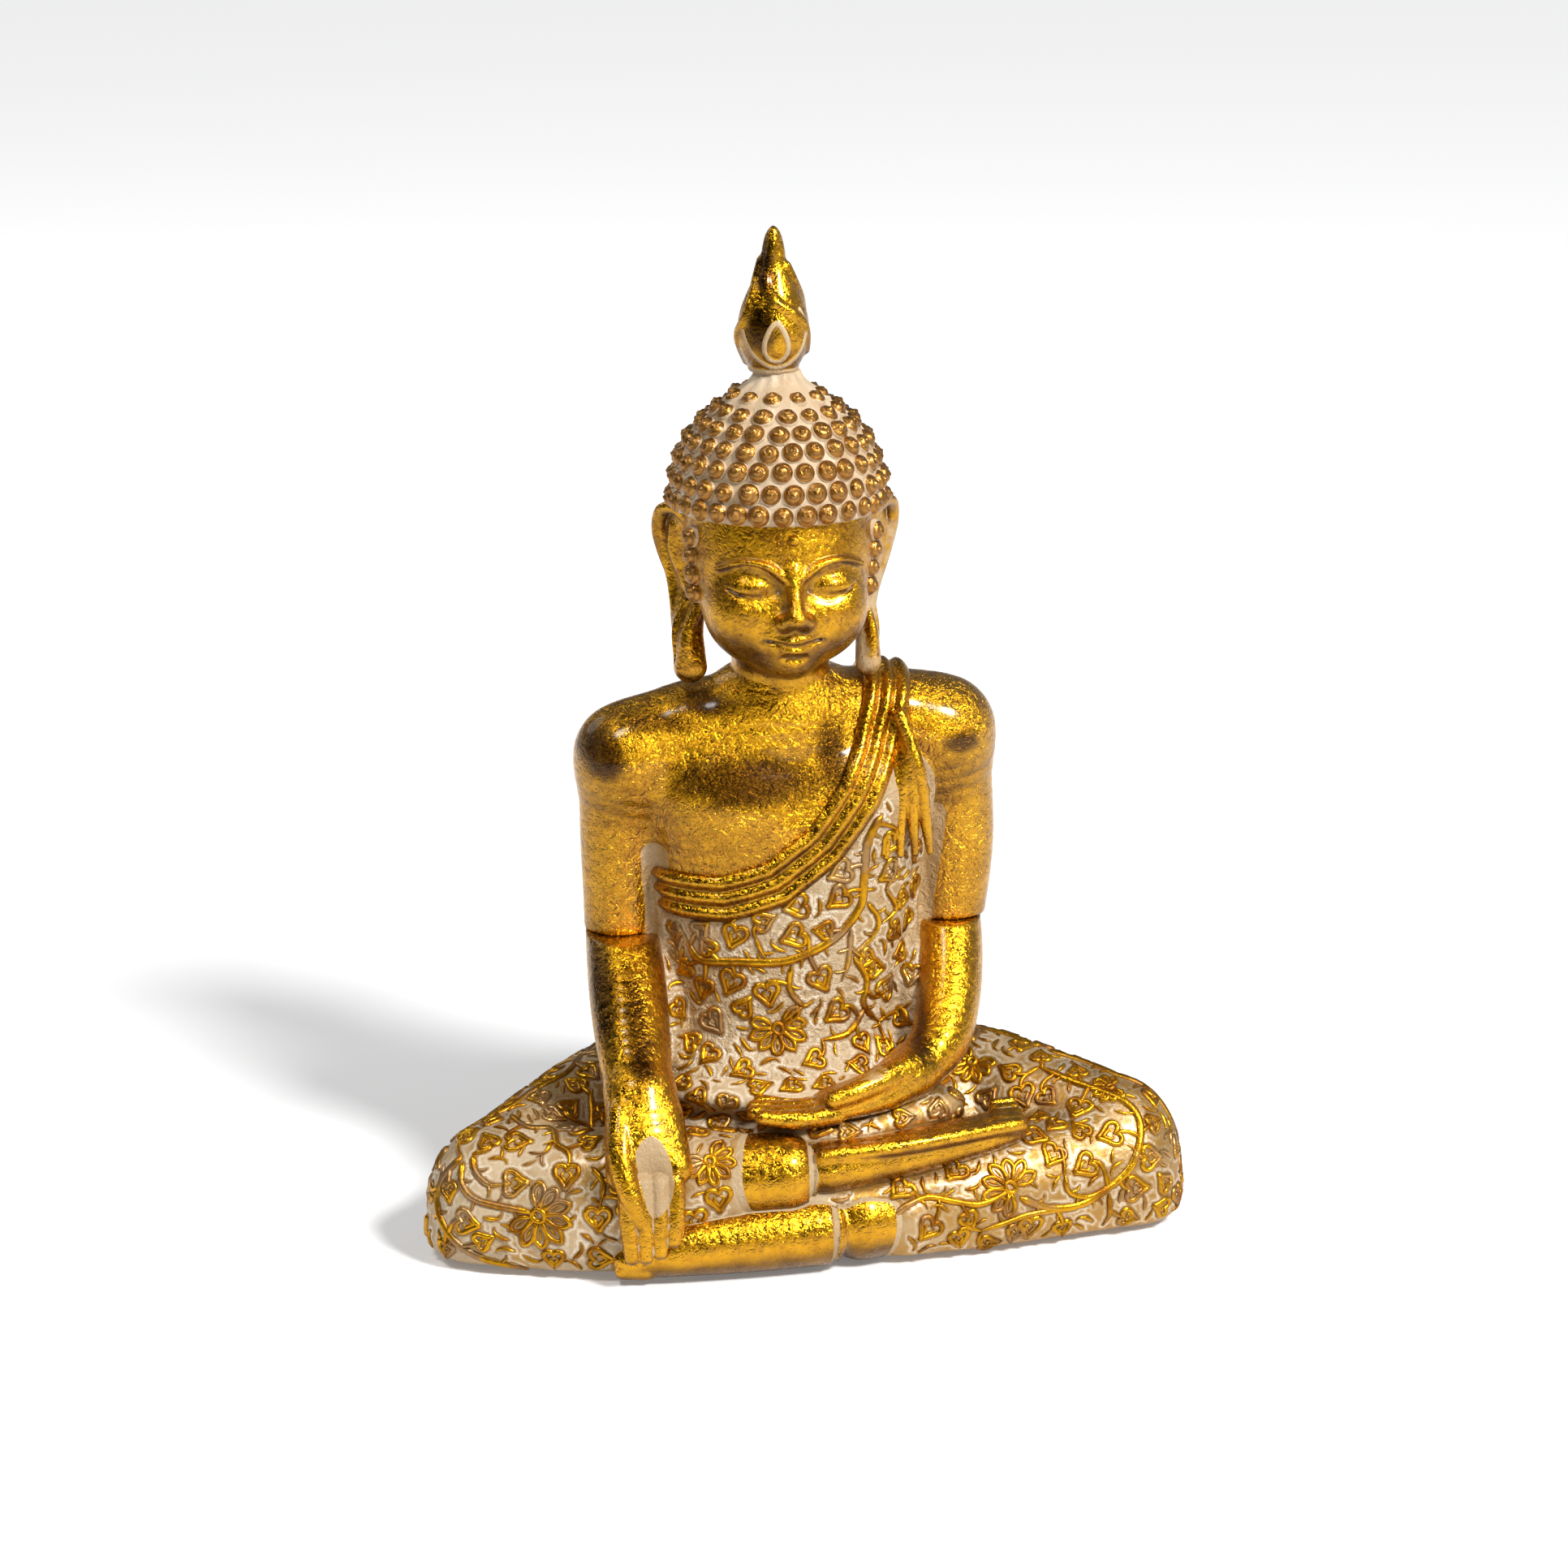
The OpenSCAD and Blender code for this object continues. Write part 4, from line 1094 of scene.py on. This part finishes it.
        def turned_flat(points, angle):
            c, d = math.cos(angle), math.sin(angle)
            return flat([(a * c - b * d, a * d + b * c) for a, b in points])
        for i in range(petals):
            angle = math.radians((i / (petals - 1) - 0.5) * fan)
            long = size * (1 - 0.18 * abs(i / (petals - 1) - 0.5) + (0.05 if i % 2 else 0))
            side = np.array([0.0, 0.09, 0.16, 0.17, 0.1, 0.0]) * size * 1.05
            reach = np.array([0.2, 0.36, 0.55, 0.74, 0.9, 1.0]) * long
            outline = list(zip(reach, side)) + list(zip(reach[::-1], -side[::-1]))[1:]
            self.lay(turned_flat(outline, angle), width, 0.8)
            self.lay(turned_flat([(long * 0.45, 0), (long * 0.78, 0)], angle), width * 0.7, 0.45)
            self.take(turned_flat([(long * f, 0) for f in (0.3, 0.5, 0.7, 0.85)], angle))
        t = np.linspace(0, 2 * math.pi, 15)
        oval = np.stack([size * (0.05 + 0.2 * np.cos(t)), size * 0.17 * np.sin(t)], axis=1)
        self.lay(flat(oval), width * 1.1, 0.95, closed=True)

    def stem(self, marks, width):
        """A stem through places seen in the picture plane."""
        path = [self.seen(*mark) for mark in smooth_rows(marks, 5)]
        path = [p for p in path if p is not None]
        self.lay(path, width, 0.95, (1, 3))
        self.stems.append(np.array(path))

    def shoots(self, path, gap=8.5, heart_size=3.2):
        """Side shoots that leave a path on both sides in turn, and end in a leaf or a curled tip."""
        lengths = np.concatenate([[0], np.cumsum(np.linalg.norm(np.diff(path, axis=0), axis=1))])
        side = 1
        for place in np.arange(gap * 0.7, lengths[-1] - 2, gap):
            i = int(np.searchsorted(lengths, place))
            ahead = path[min(i + 1, len(path) - 1)] - path[max(i - 1, 0)]
            _, normal, _ = self.nearest(path[i])
            lean = 0.75 * side
            leaving = ahead * math.cos(lean) + np.cross(normal, ahead) * math.sin(lean)
            side = -side
            bend = rng.uniform(0.03, 0.12) * -side
            grown, heading = self.grow(path[i], leaving, rng.uniform(4.5, 7.5), bend)
            end = grown[-1]
            away = end + heading / np.linalg.norm(heading) * heart_size * 1.25
            if len(grown) < 5 or not self.is_free(away, heart_size * 1.25):
                curl_path, _ = self.grow(path[i], leaving, 4.2, 0.35 * -side, room=1.2)
                if len(curl_path) > 4:
                    self.lay(curl_path, 1.1, 0.7, (1, 2))
                continue
            self.lay(grown, 1.15, 0.75, (0.6, 0.6))
            self.heart(end, heading, heart_size)

    def vine(self, start, heading, length, bend):
        """A free-grown stem with its side shoots."""
        grown, _ = self.grow(start, heading, length, bend, wave=0.07, room=3.2)
        if len(grown) < 14:
            return
        self.lay(grown, 1.7, 0.85, (2, 3))
        self.stems.append(np.array(grown))
        self.shoots(np.array(grown))

    def fill(self, room, make):
        """Tries open places in a shuffled order, and makes a motif where there is room."""
        order = rng.permutation(np.flatnonzero(self.is_open))[::TRY_EVERY]
        for i in order:
            p = self.points[i]
            if self.is_free(p, room):
                make(p, self.normals[i])

    def mesh(self, keep):
        """The lines whose middle passes a test: points, quads, how high points are, and their painted shade
        on faces turned down.
        """
        points, quads, heights, unders = [], [], [], []
        count = 0
        for line, normals, half, tall, closed in self.lines:
            if not keep(line[len(line) // 2]):
                continue
            ahead = np.gradient(line, axis=0)
            if closed:
                ahead[0] = ahead[-1] = line[1] - line[-2]
            across = np.cross(normals, ahead)
            across /= np.maximum(np.linalg.norm(across, axis=1), 1e-9)[:, None]
            ring = [line + across * (half * a)[:, None] + normals * (tall * h)[:, None] for a, h in SECTION]
            n, sides = len(line), len(SECTION)
            points.append(np.stack(ring, axis=1).reshape(-1, 3))
            heights.append(np.tile(np.clip(SECTION[:, 1], 0, 1), n))
            # Painted shade on faces turned down, for each point of a strip.
            unders.append(np.repeat(underneath(normals), sides))
            i, j = np.meshgrid(np.arange(n - 1), np.arange(sides), indexing="ij")
            beside = (j + 1) % sides
            band = np.stack([i * sides + j, i * sides + beside, (i + 1) * sides + beside,
                             (i + 1) * sides + j], axis=-1)
            quads.append(band.reshape(-1, 4) + count)
            count += n * sides
        return np.vstack(points), np.vstack(quads), np.concatenate(heights), np.concatenate(unders)

    def beside_lines(self):
        """1 right beside a raised line, falling to 0 about 2 mm away."""
        middle = np.vstack([line[0] for line in self.lines])
        half = np.concatenate([line[2] for line in self.lines])
        tree = KDTree(len(middle))
        for i, p in enumerate(middle):
            tree.insert(p, i)
        tree.balance()
        found = np.zeros(len(self.points))
        for i in np.flatnonzero(self.is_open):
            _, index, away = tree.find(self.points[i])
            found[i] = math.exp(-((max(away - half[index] - 0.3, 0)) / 0.55) ** 2)
        return found


GROUND_GAP = 0.6  # clear room between the vines and the pieces beside them
gold_forms = union(0.5, left_foot, right_foot, right_arm, left_arm)


def seat_is_open(p):
    """Where vines may lie on the seat: off the edge at the floor, and clear of the torso, arms and feet."""
    clear = (in_chunks(gold_forms, p) > GROUND_GAP) & (in_chunks(torso_bare, p) > GROUND_GAP)
    return clear & (p[:, 2] > 3.4)


def torso_is_open(p):
    """Where vines may lie on the torso: on the trunk below the sash, and clear of what lies on it."""
    on_trunk = union(1, arms, shoulders)(p) - tube(TRUNK)(p) > 0.5
    on_robe = past_sash(p) > SASH_HALF + 1.2
    clear = (in_chunks(seat_shape, p) > GROUND_GAP) & (in_chunks(pleats, p) > GROUND_GAP)
    clear = clear & (in_chunks(gold_forms, p) > 0.4) & (in_chunks(webs, p) > 0.3)
    return on_trunk & on_robe & clear


# The middle lines of the washed strips between the trunk and the arms, as x and z
INNER_ARMS = (((-40.5, 114), (-40, 106.5), (-39, 97.5), (-39, 83)),
              ((44, 122.5), (43, 110), (41, 96), (41, 79)))
INNER_ARM_HALF = 3.8
seat = Ground(seat_mesh, seat_is_open)
torso = Ground(torso_mesh, torso_is_open)


def seen_heading(toward):
    """A direction in the picture plane, in degrees from the right."""
    a = math.radians(toward)
    return ACROSS * math.cos(a) + RISE * math.sin(a)


def leaf_at(ground, right, up, toward, size=3.7):
    """A heart leaf centred on a place in the picture plane. Toward is where its tip points."""
    p = ground.seen(right, up)
    heading = seen_heading(toward)
    if p is not None:
        ground.heart(p - heading * size * 0.7, heading, size)
        ground.tie(p - heading * size * 0.7, heading)


def lotus_at(ground, right, up, toward, size):
    """A lotus with its base at a place in the picture plane."""
    p = ground.seen(right, up)
    if p is not None:
        ground.lotus(p, seen_heading(toward), size)


# Where the main stems, flowers and leaves lie, as seen from the front: to the right and up
for marks, width in (
        (((28.5, 118), (24.5, 110), (23.5, 99), (22.5, 91), (16, 82.5), (7, 77), (-1.5, 74.5),
          (-14, 74.5), (-25, 75), (-29, 81)), 2.6),
        (((24.5, 92), (28, 86.5), (25, 80.5), (20.5, 77)), 1.6),
        (((19.5, 84), (19, 75), (17, 69)), 1.6),
        (((20.5, 76), (24.5, 69), (23.5, 61.5), (28, 56)), 1.9),
        (((23.5, 60), (19, 53), (11, 51)), 1.9),
        (((2, 73.5), (1.5, 66.5), (5.5, 61.5), (8.5, 63)), 1.7),
        (((5.5, 61.5), (1, 58), (-2, 55)), 1.5),
        (((-8.5, 81.5), (-7, 78), (-5, 75)), 1.3),
        (((-16, 86), (-13, 89), (-10, 91.5)), 1.2),
        (((30, 96), (33, 90), (29, 86)), 1.3)):
    torso.stem(marks, width)
lotus_at(torso, -2, 55, -75, 9)
for place in ((16, 101, 200), (15.5, 93, 215), (3, 91, 190), (-15, 82, 250), (2, 82, 200), (11, 69, -60),
              (-5, 64.5, -80), (-16, 68, 245), (15, 59, 215), (30.5, 67, 50), (-21, 56, -50), (31, 109, 240),
              (31, 101, 200)):
    leaf_at(torso, *place)
for marks, width in (
        (((-94.5, 18), (-100, 12), (-102, 5), (-100, -2), (-95, -8), (-87, -12), (-77, -14),
          (-67, -16)), 2.2),
        (((-94, 16.5), (-94.5, 11), (-91, 6.5), (-84.5, 4.5), (-76, 3), (-72, 2)), 1.9),
        (((-91, 19), (-90.5, 14.5), (-86.5, 10.5), (-82, 10.5)), 1.8),
        (((-81, 29), (-75.5, 26), (-68, 25.5), (-66.5, 22), (-63, 20), (-62.5, 17)), 1.9),
        (((-68, 22.5), (-69.5, 20), (-72, 18.5)), 1.3),
        (((-56, 16), (-52.5, 11.5), (-53.5, 5)), 1.6),
        (((30, -1), (35.5, 3.5), (42, 6), (50, 4.5), (58, 3.5), (66, 7)), 1.9),
        (((69.5, 5), (78.5, 1.5), (87.5, 2), (95, 6), (102.5, 12), (106, 20), (106, 27), (102, 32),
          (95, 35), (86, 38), (77, 41.5)), 2.3),
        (((87.5, 1.5), (73, 0), (65, -2.5), (58, -4.5)), 1.7),
        (((96.5, 5), (97, -1), (95, -4.5)), 1.6),
        (((83, 11), (84.5, 6), (90.5, 4.5), (96, 7.5)), 1.5)):
    seat.stem(marks, width)
lotus_at(seat, -72, 2, -30, 10.5)
lotus_at(seat, -22, 18, -60, 8)
lotus_at(seat, 67, 8, 150, 9.5)
lotus_at(seat, 57, 43, -120, 7.5)
lotus_at(seat, 98, 36, 200, 6)
for place in ((-78, 11, 0), (-63.5, 13, -90), (-92.5, -1, -10), (-54, 0.5, -90), (-53, -11, 0),
              (-64, -16, 230), (-77.5, 22.5, -20), (-19, 6, -80), (-26, 0, -80), (34, 8, 235),
              (50, 13, 240), (42, -4, 235), (75, 22.5, -30), (79.5, 17, 240), (89, 13.5, 210),
              (96.5, 22.5, 200), (105.5, 6.5, 0), (110, 15.5, 0), (88, 30, -100), (72, 33, -70),
              (72.5, -4.5, -90)):
    leaf_at(seat, *place)
for ground in (torso, seat):
    for path in ground.stems:
        ground.shoots(path, gap=6.5, heart_size=2.8)


def grow_over(ground, starts, small_room, leaf_room):
    """Covers the rest of a surface with vines, leaves and curls."""
    for start, heading, length, bend in starts:
        if ground.is_free(ground.nearest(start)[0], 3):
            ground.vine(start, heading, length, bend)

    def leaf(p, normal):
        """A leaf that points anywhere, though rather down than up."""
        heading = np.cross(normal, rng.normal(size=3)) - [0, 0, 0.4]
        heading -= normal * (heading @ normal)
        heading /= np.linalg.norm(heading)
        if all(ground.nearest(p + heading * 3.2 * k)[2] for k in (-1, 1)):
            ground.heart(p - heading * 2.1, heading, 3)
            ground.tie(p - heading * 2.1, heading, 10, 1.15)

    def curl_mark(p, normal):
        heading = np.cross(normal, rng.normal(size=3))
        tail, _ = ground.grow(p, heading, 6.5, rng.choice([-0.3, 0.3]), room=0.9)
        if len(tail) > 3:
            ground.lay(tail, 1.2, 0.7, (1, 2))
    ground.fill(leaf_room, leaf)
    ground.fill(small_room, curl_mark)


# Where free vines start: a place, a heading, a length and a bend
around_seat = [((x, y, z), (way, 0.2, 0.1), 70, 0.02 * way)
               for z, y in ((10, 50), (28, 44), (44, 30))
               for x, way in ((-70, 1), (-20, 1), (60, -1), (10, -1))]
over_knees = [((side * x, y, 45), (side * 0.6, -0.7, 0), 60, 0.03 * side)
              for side in (-1, 1) for x, y in ((60, 8), (80, -8), (45, -10))]
grow_over(seat, around_seat + over_knees, 2.7, 5)
up_back = [((x, 30, 62 + 4 * abs(x) / 10), (way, 0, 1), 75, 0.035 * way)
           for x, way in ((-25, 1), (-5, -1), (12, 1), (28, -1))]
grow_over(torso, up_back, 2.7, 4.9)


def in_front(p):
    return p[1] < -20


for name, ground, node, test in (("vines_seat_front", seat, "seat_casting", in_front),
                                 ("vines_seat_back", seat, "seat_casting", lambda p: not in_front(p)),
                                 ("vines_torso", torso, "torso_casting", lambda p: True)):
    # Strips carry their painted shade on faces turned down.
    points, quads, height, under = ground.mesh(test)
    make_piece(name, points, quads, "statue", [node], "robe_wash", vine_gold, height=height, under=under)

seat_hollow, seat_dell = hollowness(*seat_mesh)
# The seat's robe carries painted shade on faces turned down.
make_piece("robe_seat", seat.points, seat.quads, "statue", ["seat_casting"], "robe_wash", robe,
           hollow=seat_hollow, dell=seat_dell, under=underneath(seat.normals),
           ochre=step_mask(seat.points[:, 0] - 25, 30), edge=seat.beside_lines(),
           cover=np.ones(len(seat.points)))


def beside_arms(p, normals):
    """1 on the front of the strips between the trunk and the arms."""
    found = np.zeros(len(p))
    for strip in INNER_ARMS:
        found = np.maximum(found, step_mask(INNER_ARM_HALF - np.abs(across_line(p, strip)), 6))
    return found * step_mask(-normals[:, 1] - 0.1, 0.4)


torso_hollow, torso_dell = hollowness(*torso_mesh)
on_web = step_mask(0.9 - webs(torso.points), 1) * step_mask(arms(torso.points) - 0.9, 1)
# The torso carries painted shade on faces turned down and painted dark reflections on its front.
make_piece("torso", torso.points, torso.quads, "statue", ["torso_casting"], "gold_leaf", torso_skin,
           hollow=torso_hollow, dell=torso_dell, edge=torso.beside_lines(),
           under=np.maximum(underneath(torso.normals), painted_dark_reflection_mask(torso.points, torso.normals)),
           cover=np.max([robe_on_torso(torso.points), on_web,
                         beside_arms(torso.points, torso.normals)], axis=0))
form("sash", sash_shape, (-50, -44, 90), (50, 40, 172), 0.6, "shoulder_sash", "gold_leaf", gold_cloth)
form("pleats", pleats, (20, -30, 108), (52, 4, 164), 0.5, "shoulder_pleats", "gold_leaf", gold_cloth)


# ---- CAD nodes that stay, in better materials ----

kept = {"base_board": plain("board", (0.2, 0.11, 0.05), 0.0, 0.6),
        "base_felt": plain("felt", (0.02, 0.05, 0.035), 0.0, 0.95),
        "base_screws": plain("screws", (0.55, 0.42, 0.2), 1.0, 0.35),
        "finial_pin": plain("brass", (0.62, 0.42, 0.14), 1.0, 0.3)}
wood = plain("dowel", (0.5, 0.34, 0.18), 0.0, 0.6)
kept.update(dict.fromkeys(("neck_dowel", "right_elbow_pin", "left_elbow_pin"), wood))
for node, material in kept.items():
    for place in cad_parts[node].material_slots:
        place.material = material


# ---- Stage, light and camera ----

CAMERA = dict(azimuth=VIEW_AZIMUTH, elevation=VIEW_ELEVATION, distance=1300, aim=(-0.2, 0, 132), lens=100)
FLOOR_SIZE = 40
CHEST = (0, 0, 0.15)


def look(azimuth, elevation, distance, aim, lens):
    """The camera: angles in degrees, distance and aim in millimetres."""
    data = bpy.data.cameras.new("camera")
    camera = bpy.data.objects.new("camera", data)
    bpy.context.scene.collection.objects.link(camera)
    back = Vector(facing(azimuth, elevation)[0])
    camera.location = (Vector(aim) + back * distance) * MM
    camera.rotation_mode = "QUATERNION"
    camera.rotation_quaternion = back.to_track_quat("Z", "Y")
    data.lens = lens
    data.clip_start, data.clip_end = 0.01, 20
    bpy.context.scene.camera = camera


def pale_floor():
    """A plain pale floor that glows faintly, lifted towards white behind the figure, where the lamps don't
    reach.
    """
    m = Shading("floor")
    behind = m.add("ShaderNodeSeparateXYZ", {"Vector": m.place}).outputs["Y"]
    # Painted light: the floor glows, more strongly behind the figure.
    m.surface.inputs["Emission Color"].default_value = (1, 1, 1, 1)
    m.put(m.surface.inputs["Emission Strength"], m.ramp(behind, -0.1, 1.2, 0.16, 0.7))
    return m.finish((0.86, 0.86, 0.855), 0.0, 0.6)


look(**CAMERA)
bpy.ops.mesh.primitive_plane_add(size=FLOOR_SIZE)
floor = bpy.context.object
floor.name = "floor"
floor.data.materials.append(pale_floor())


def area_light(name, place, size, power):
    """A round lamp that points at the chest: its place and size in metres, its power in watts."""
    data = bpy.data.lights.new(name, "AREA")
    data.shape, data.size, data.energy = "DISK", size, power
    light = bpy.data.objects.new(name, data)
    bpy.context.scene.collection.objects.link(light)
    light.location = Vector(place)
    light.rotation_mode = "QUATERNION"
    light.rotation_quaternion = (Vector(place) - Vector(CHEST)).to_track_quat("Z", "Y")


area_light("key", (0.75, -1.12, 1.36), 0.4, 48)
area_light("top", (-0.75, -0.6, 1.7), 0.4, 13)
area_light("rim", (-1.2, 1.2, 1.2), 1.0, 6)


def studio_world():
    """A pale room that gets darker towards -X, the figure's own right."""
    world = bpy.data.worlds.new("studio")
    world.use_nodes = True
    nodes, links = world.node_tree.nodes, world.node_tree.links
    coords = nodes.new("ShaderNodeTexCoord")
    split = nodes.new("ShaderNodeSeparateXYZ")
    links.new(coords.outputs["Generated"], split.inputs[0])
    shade = nodes.new("ShaderNodeMapRange")
    shade.interpolation_type = "SMOOTHSTEP"
    for name, value in (("From Min", -0.4), ("From Max", 0.9), ("To Min", 0.03), ("To Max", 0.36)):
        shade.inputs[name].default_value = value
    links.new(split.outputs["X"], shade.inputs["Value"])
    links.new(shade.outputs["Result"], nodes["Background"].inputs["Strength"])
    nodes["Background"].inputs["Color"].default_value = (0.95, 0.96, 1.0, 1)
    bpy.context.scene.world = world


studio_world()
bpy.context.scene.view_settings.view_transform = "Standard"
